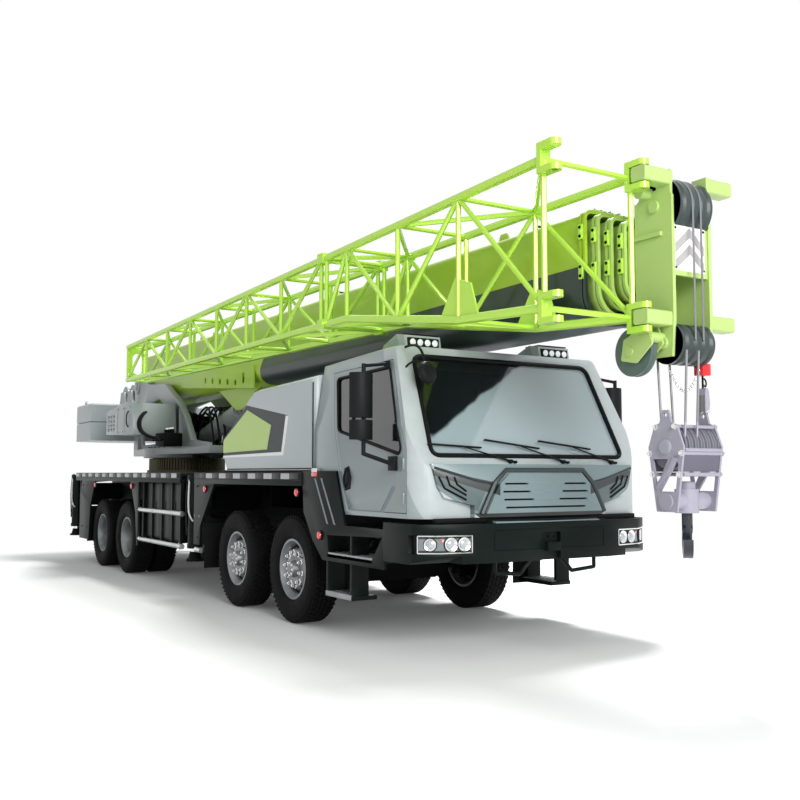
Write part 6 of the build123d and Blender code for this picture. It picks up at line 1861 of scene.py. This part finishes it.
@dataclass
class Boom(Assembly):
    """Telescopic boom, its head, the lattice jib and the hook block."""

    plate_front: float = 4.176
    boom_half: float = 0.360
    boom_top: float = 3.520
    collar: float = 0.016
    collar_front: float = 3.470
    sheave_x: float = 4.030
    hook_x: float = 4.09
    rope_y: float = 0.196
    chain_drop: float = 0.16
    chain_reach: float = 0.32
    chain_links: int = 30
    jib_pin_x: float = 4.12
    jib_planes: Flat = (-0.41, -1.23)
    jib_levels: Flat = (2.60, 3.63)
    ear_step: float = 0.085

    def coats(self) -> None:
        """Coat the solid parts."""
        shop = self.shop
        shop.coat("boom_base", Coat.BOOM)
        for number in (2, 3, 4):
            shop.coat(f"boom_section_{number}", Coat.COLLAR)
        shop.coat("boom_section_5", Coat.HEAD)
        shop.coat("jib", Coat.LIME)
        shop.coat("hook_block", Coat.HOOK)

    def pads(self) -> None:
        """Bolted wear pads round each collar."""
        shop = self.shop
        at = self.at
        for step in range(4):
            shape = Shape(Coat.LIME, Coat.CHASSIS)
            half = self.boom_half - 0.040 * step + self.collar
            front = self.collar_front + 0.100 * step - 0.012
            for side in (RIGHT, LEFT):
                for z in (3.36 - 0.04 * step, 3.05):
                    shape.use(Coat.LIME).box(
                        at(front - 0.045, side * (half - 0.004), z - 0.06),
                        at(front, side * (half + 0.018), z + 0.06), 0.004,
                    )
                    shape.use(Coat.CHASSIS).bolts(
                        [at(front - 0.023, side * (half + 0.018), z + shift) for shift in (-0.035, 0.035)],
                        (0, side, 0), 0.009, 0.009,
                    )
            top = self.boom_top - 0.044 * step + self.collar
            for y in (-0.2 + 0.02 * step, 0.2 - 0.02 * step):
                shape.use(Coat.LIME).box(
                    at(front - 0.045, y - 0.06, top - 0.004), at(front, y + 0.06, top + 0.016), 0.004,
                )
                shape.use(Coat.CHASSIS).bolts(
                    [at(front - 0.023, y + shift, top + 0.016) for shift in (-0.035, 0.035)], (0, 0, 1),
                    0.009, 0.009,
                )
            shop.piece(f"collar_pads_{step + 1}", shape, f"boom_{step + 1}", "lime_paint")

    def head(self) -> None:
        """Chevron plate, sheave faces and ropes on the boom's head."""
        shop = self.shop
        at = self.at
        shape = Shape(Coat.WHITE, Coat.CHEVRON, Coat.ROPE, Coat.SHEAVE, Coat.CHASSIS)
        x = shop.x(self.plate_front)
        shape.use(Coat.WHITE).box((x, -0.170, 2.955), (x + 0.003, 0.150, 3.285), 0.001)
        shape.use(Coat.CHEVRON)
        for foot in (2.958, 3.080):
            for side in (RIGHT, LEFT):
                edge = -0.010 + side * 0.150
                outline = [
                    (-0.010, foot + 0.125), (edge, foot), (edge, foot + 0.072), (-0.010, foot + 0.197),
                ]
                shape.plate(outline, Plane.FRONT, x + 0.003, x + 0.0045)
        shape.use(Coat.CHASSIS).bolts(
            [(x + 0.003, y, z) for y in (-0.155, 0.135) for z in (2.975, 3.265)], (1, 0, 0), 0.007, 0.005,
        )
        shape.use(Coat.SHEAVE)
        for spot, z, radius in ((self.sheave_x, 3.440, 0.213), (self.hook_x, 2.430, 0.148)):
            for y in (-0.167, 0.164):
                shape.turned(
                    at(spot, y, z), (0, 1, 0), [(0, 0.03), (0, radius), (0.003, radius), (0.003, 0.03)], 40,
                )
        shape.use(Coat.ROPE)
        front = self.sheave_x + 0.215 - 0.004
        for y in (-0.040, 0.042):
            shape.tube([
                at(3.82, y, 3.50), at(3.86, y, 3.60), at(3.95, y, 3.655), at(4.05, y, 3.665),
                at(4.16, y, 3.62), at(front - 0.01, y, 3.53), at(front, y, 3.42),
                at(front, y, 3.0), at(front, y, 2.45),
            ], 0.008)
        shop.piece("head_dress", shape, "boom_5", "lime_paint")

    def lines(self) -> None:
        """Rope and hose along the boom's top, and the guides that carry them."""
        shop = self.shop
        at = self.at
        shape = Shape(Coat.ROPE, Coat.LIME, Coat.CHASSIS)
        for y in (-0.05, 0.05):
            shape.rod(at(-7.3, y, 3.60), at(3.42, y, 3.565), 0.008, 8)
        for ahead in (-5.0, -1.0, 2.6):
            shape.use(Coat.LIME)
            for y in (-0.13, 0.13):
                shape.box(
                    (shop.x(ahead) - 0.02, y - 0.008, 3.518), (shop.x(ahead) + 0.02, y + 0.008, 3.64),
                    0.003,
                )
            shape.use(Coat.CHASSIS).rod(at(ahead, -0.13, 3.55), at(ahead, 0.13, 3.55), 0.014, 12)
            shape.rod(at(ahead, -0.13, 3.62), at(ahead, 0.13, 3.62), 0.010, 12)
        shop.piece("boom_lines", shape, "boom_1", "lime_paint")

    def jib(self) -> None:
        """Bright hinge pins in the forks at the jib's foot."""
        shop = self.shop
        shape = Shape(Coat.CHROME)
        pin_x = shop.x(self.jib_pin_x)
        for y in self.jib_planes:
            for z in self.jib_levels:
                for ear in (-self.ear_step, self.ear_step):
                    shape.rod((pin_x, y, z + ear - 0.0215), (pin_x, y, z + ear + 0.0215), 0.0218, 20)
        shop.piece("jib_fittings", shape, "jib_body", "lime_paint")

    def hook(self) -> None:
        """Limit weight with its chain, wedge socket, strips, guards and latch of the hook block."""
        shop = self.shop
        shape = Shape(Coat.RED, Coat.CHASSIS, Coat.HOOK, Coat.CHROME, Coat.ROPE, Coat.GUARD)
        x = shop.x(self.hook_x)
        y = self.rope_y
        shape.use(Coat.RED).box((x - 0.045, y - 0.045, 2.215), (x + 0.045, y + 0.045, 2.305), 0.010)
        shape.box((x - 0.020, y - 0.040, 2.300), (x + 0.020, y - 0.015, 2.330), 0.004)
        shape.use(Coat.ROPE).rod((x, y, 2.10), (x, y, 2.36), 0.008, 8)
        shape.use(Coat.CHASSIS).tube(
            [
                (x, y + 0.01, 2.205), (x + 0.02, y + 0.018, 2.17), (x, y + 0.03, 2.125),
                (x - 0.02, y + 0.018, 2.17),
            ], 0.006, 8, True,
        )
        shape.use(Coat.CHROME)
        drop, reach = self.chain_drop, self.chain_reach
        for number in range(self.chain_links):
            share = number / (self.chain_links - 1)
            spot = Vector((x + 0.02, 0.14 - reach * share, 2.250 - drop * sin(pi * share)))
            turn = Matrix.Rotation(atan2(-drop * pi * cos(pi * share), reach), 4, "X")
            turn = turn @ Matrix.Rotation(radians(90) * (number % 2), 4, "Y")
            corners = ((0.008, 0.0), (0.0, 0.013), (-0.008, 0.0), (0.0, -0.013))
            link = [tuple(spot + turn @ Vector((one, two, 0.0))) for one, two in corners]
            shape.tube(link, 0.0028, 4, True)
        shape.use(Coat.HOOK)
        body = (
            (0.176, 1.935), (0.218, 1.935), (0.232, 2.010), (0.222, 2.105), (0.206, 2.125), (0.188, 2.125),
            (0.178, 2.060),
        )
        for low, high in ((-0.036, -0.016), (0.016, 0.036)):
            shape.plate(body, Plane.FRONT, x + low, x + high, 0.003)
        shape.plate(
            [(a, 1.950 + (z - 1.935) * 0.9) for a, z in body], Plane.FRONT, x - 0.018, x + 0.018, 0.004,
        )
        shape.use(Coat.CHROME).rod((x - 0.052, y, 1.948), (x + 0.052, y, 1.948), 0.014, 14, bevel=0.002)
        for side in (RIGHT, LEFT):
            face = side * 0.205
            shape.use(Coat.HOOK)
            strip = [(-0.105, 1.400), (-0.070, 1.385), (0.115, 1.600), (0.080, 1.620)]
            shape.plate([(x + a, z) for a, z in strip], Plane.SIDE, face, face + side * 0.010, 0.002)
            shape.turned(
                (x, face, 1.685), (0, side, 0), [(0, 0.056), (0.014, 0.054), (0.018, 0.040), (0.020, 0)],
                24,
            )
            shape.use(Coat.CHROME).bolts(
                [
                    (x + a, face, z)
                    for a, z in (
                        (-0.09, 1.83), (0.09, 1.83), (-0.148, 1.64), (0.148, 1.64), (-0.125, 1.49),
                        (0.125, 1.49),
                    )
                ], (0, side, 0), 0.016, 0.022,
            )
            bent = side * 0.150
            guard = [
                (x + bent, 1.655), (x + bent * 1.03, 1.655), (x + bent * 0.90, 1.510),
                (x + bent * 0.87, 1.510),
            ]
            shape.use(Coat.GUARD).plate(guard, Plane.SIDE, -0.184, 0.184)
            shape.use(Coat.HOOK)
            for z, reach in ((1.664, 0.156), (1.492, 0.138)):
                shape.rod((x + side * reach, -0.186, z), (x + side * reach, 0.186, z), 0.014, 16)
        shape.use(Coat.ROPE)
        for number in range(12):
            y = -0.165 + 0.030 * number
            groove = [(-0.006, 0.156), (-0.004, 0.1615), (0.004, 0.1615), (0.006, 0.156)]
            shape.turned((x, y, 1.685), (0, 1, 0), groove, 40)
        shape.use(Coat.HOOK).turned(
            (x, 0, 1.375), (0, 0, 1), [(0, 0.0), (0, 0.062), (0.060, 0.062), (0.066, 0.056), (0.066, 0.0)],
            24,
        )
        shape.turned(
            (x, 0, 1.225), (0, 0, 1), [(-0.012, 0.0), (-0.012, 0.050), (0.002, 0.056), (0.004, 0.0)], 24,
        )
        latch = Matrix.Rotation(radians(-45), 4, "Z") @ Matrix.Rotation(radians(24), 4, "Y")
        middle = Vector((x + 0.066, -0.066, 1.105))
        half = Vector((0.005, 0.018, 0.075))
        shape.box(tuple(middle - half), tuple(middle + half), 0.003, latch)
        shop.piece("hook_dress", shape, "hook", "hook_paint")

    def build(self) -> None:
        """Make all of the boom's pieces."""
        self.coats()
        self.pads()
        self.head()
        self.lines()
        self.jib()
        self.hook()


@dataclass
class Studio(Assembly):
    """Pale floor, soft light and the photograph's camera."""

    eye: Point = (8.99, -5.47, 1.50)
    heading: float = radians(31.8)
    pitch: float = radians(4.30)
    lens: float = 43.785
    sky: float = 0.38
    centre: float = 1.5
    shadow_reach: float = 7.0
    white_reach: float = 11.0
    near_glow: float = 0.04
    sky_tint: tuple[float, ...] = (0.97, 0.985, 1.0, 1.0)

    def floor(self) -> None:
        """Lay the floor that catches the shadow and is white to the camera further out."""
        board = Board("studio_floor")
        along, across, _ = board.axes()
        tone = board.blend(board.noise(0.2), (0.92, 0.92, 0.92), (0.94, 0.94, 0.94))
        shader = board.node("ShaderNodeBsdfPrincipled", None, {"Base Color": tone, "Roughness": 0.9})
        glow = board.node("ShaderNodeEmission", None, {"Strength": 1.0})
        reach = along + self.centre
        away = board.ramp(reach * reach + across * across, self.shadow_reach ** 2, self.white_reach ** 2)
        share = board.seen() * (self.near_glow + away * (1.0 - self.near_glow))
        board.node_out(board.node("ShaderNodeMixShader", None, {0: share, 1: shader, 2: glow}))
        mesh = bmesh.new()
        bmesh.ops.create_grid(mesh, x_segments=2, y_segments=2, size=120.0)
        data = bpy.data.meshes.new("studio_floor")
        mesh.to_mesh(data)
        mesh.free()
        data.materials.append(board.material)
        item = bpy.data.objects.new("studio_floor", data)
        bpy.context.scene.collection.objects.link(item)

    def world(self) -> None:
        """White behind the object and an even sky for light."""
        world = bpy.data.worlds.new("studio")
        bpy.context.scene.world = world
        board = Board("studio", world)
        white = board.node("ShaderNodeBackground", None, {"Color": (1.0, 1.0, 1.0, 1.0), "Strength": 1.0})
        light = board.node("ShaderNodeBackground", None, {"Color": self.sky_tint, "Strength": self.sky})
        mix = board.node("ShaderNodeMixShader", None, {0: board.seen(), 1: light, 2: white})
        board.node_out(mix, "ShaderNodeOutputWorld")

    def lamp(self, name: str, place: Point, aim: Point, size: float, power: float) -> None:
        """Hang one soft lamp.

        Args:
            name: its name.
            place: where it hangs.
            aim: the point that it faces.
            size: the side of its square.
            power: its watts.
        """
        light = bpy.data.lights.new(name, "AREA")
        light.size = size
        light.energy = power
        item = bpy.data.objects.new(name, light)
        item.location = place
        item.rotation_euler = (Vector(aim) - Vector(place)).to_track_quat("-Z", "Y").to_euler()
        bpy.context.scene.collection.objects.link(item)

    def camera(self) -> None:
        """Stand the camera where the photograph was taken from."""
        data = bpy.data.cameras.new("camera")
        data.lens = self.lens
        data.sensor_width = 36.0
        data.clip_end = 500.0
        item = bpy.data.objects.new("camera", data)
        item.location = self.at(*self.eye)
        level = cos(self.pitch)
        look = Vector((-cos(self.heading) * level, sin(self.heading) * level, sin(self.pitch)))
        item.rotation_euler = look.to_track_quat("-Z", "Y").to_euler()
        bpy.context.scene.collection.objects.link(item)
        bpy.context.scene.camera = item

    def build(self) -> None:
        """Set up the floor, world, lamps and camera."""
        self.floor()
        self.world()
        self.lamp("overhead", (-1.5, 4.0, 14.0), (0.0, -0.3, 0.5), 4.2, 3000.0)
        self.lamp("front", (16.0, -3.0, 6.0), (0.0, 0.0, 1.6), 6.0, 1500.0)
        bpy.context.scene.view_settings.view_transform = "Standard"
        self.camera()


def main() -> None:
    """Dress the crane from the road up."""
    logging.basicConfig(level=logging.INFO, format="%(message)s")
    shop = Workshop()
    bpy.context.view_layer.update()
    Studio(shop).build()
    Wheels(shop).build()
    Carrier(shop).build()
    Hood(shop).build()
    Cab(shop).build()
    UpperWorks(shop).build()
    Boom(shop).build()
    bpy.context.view_layer.update()


if __name__ == "__main__":
    main()
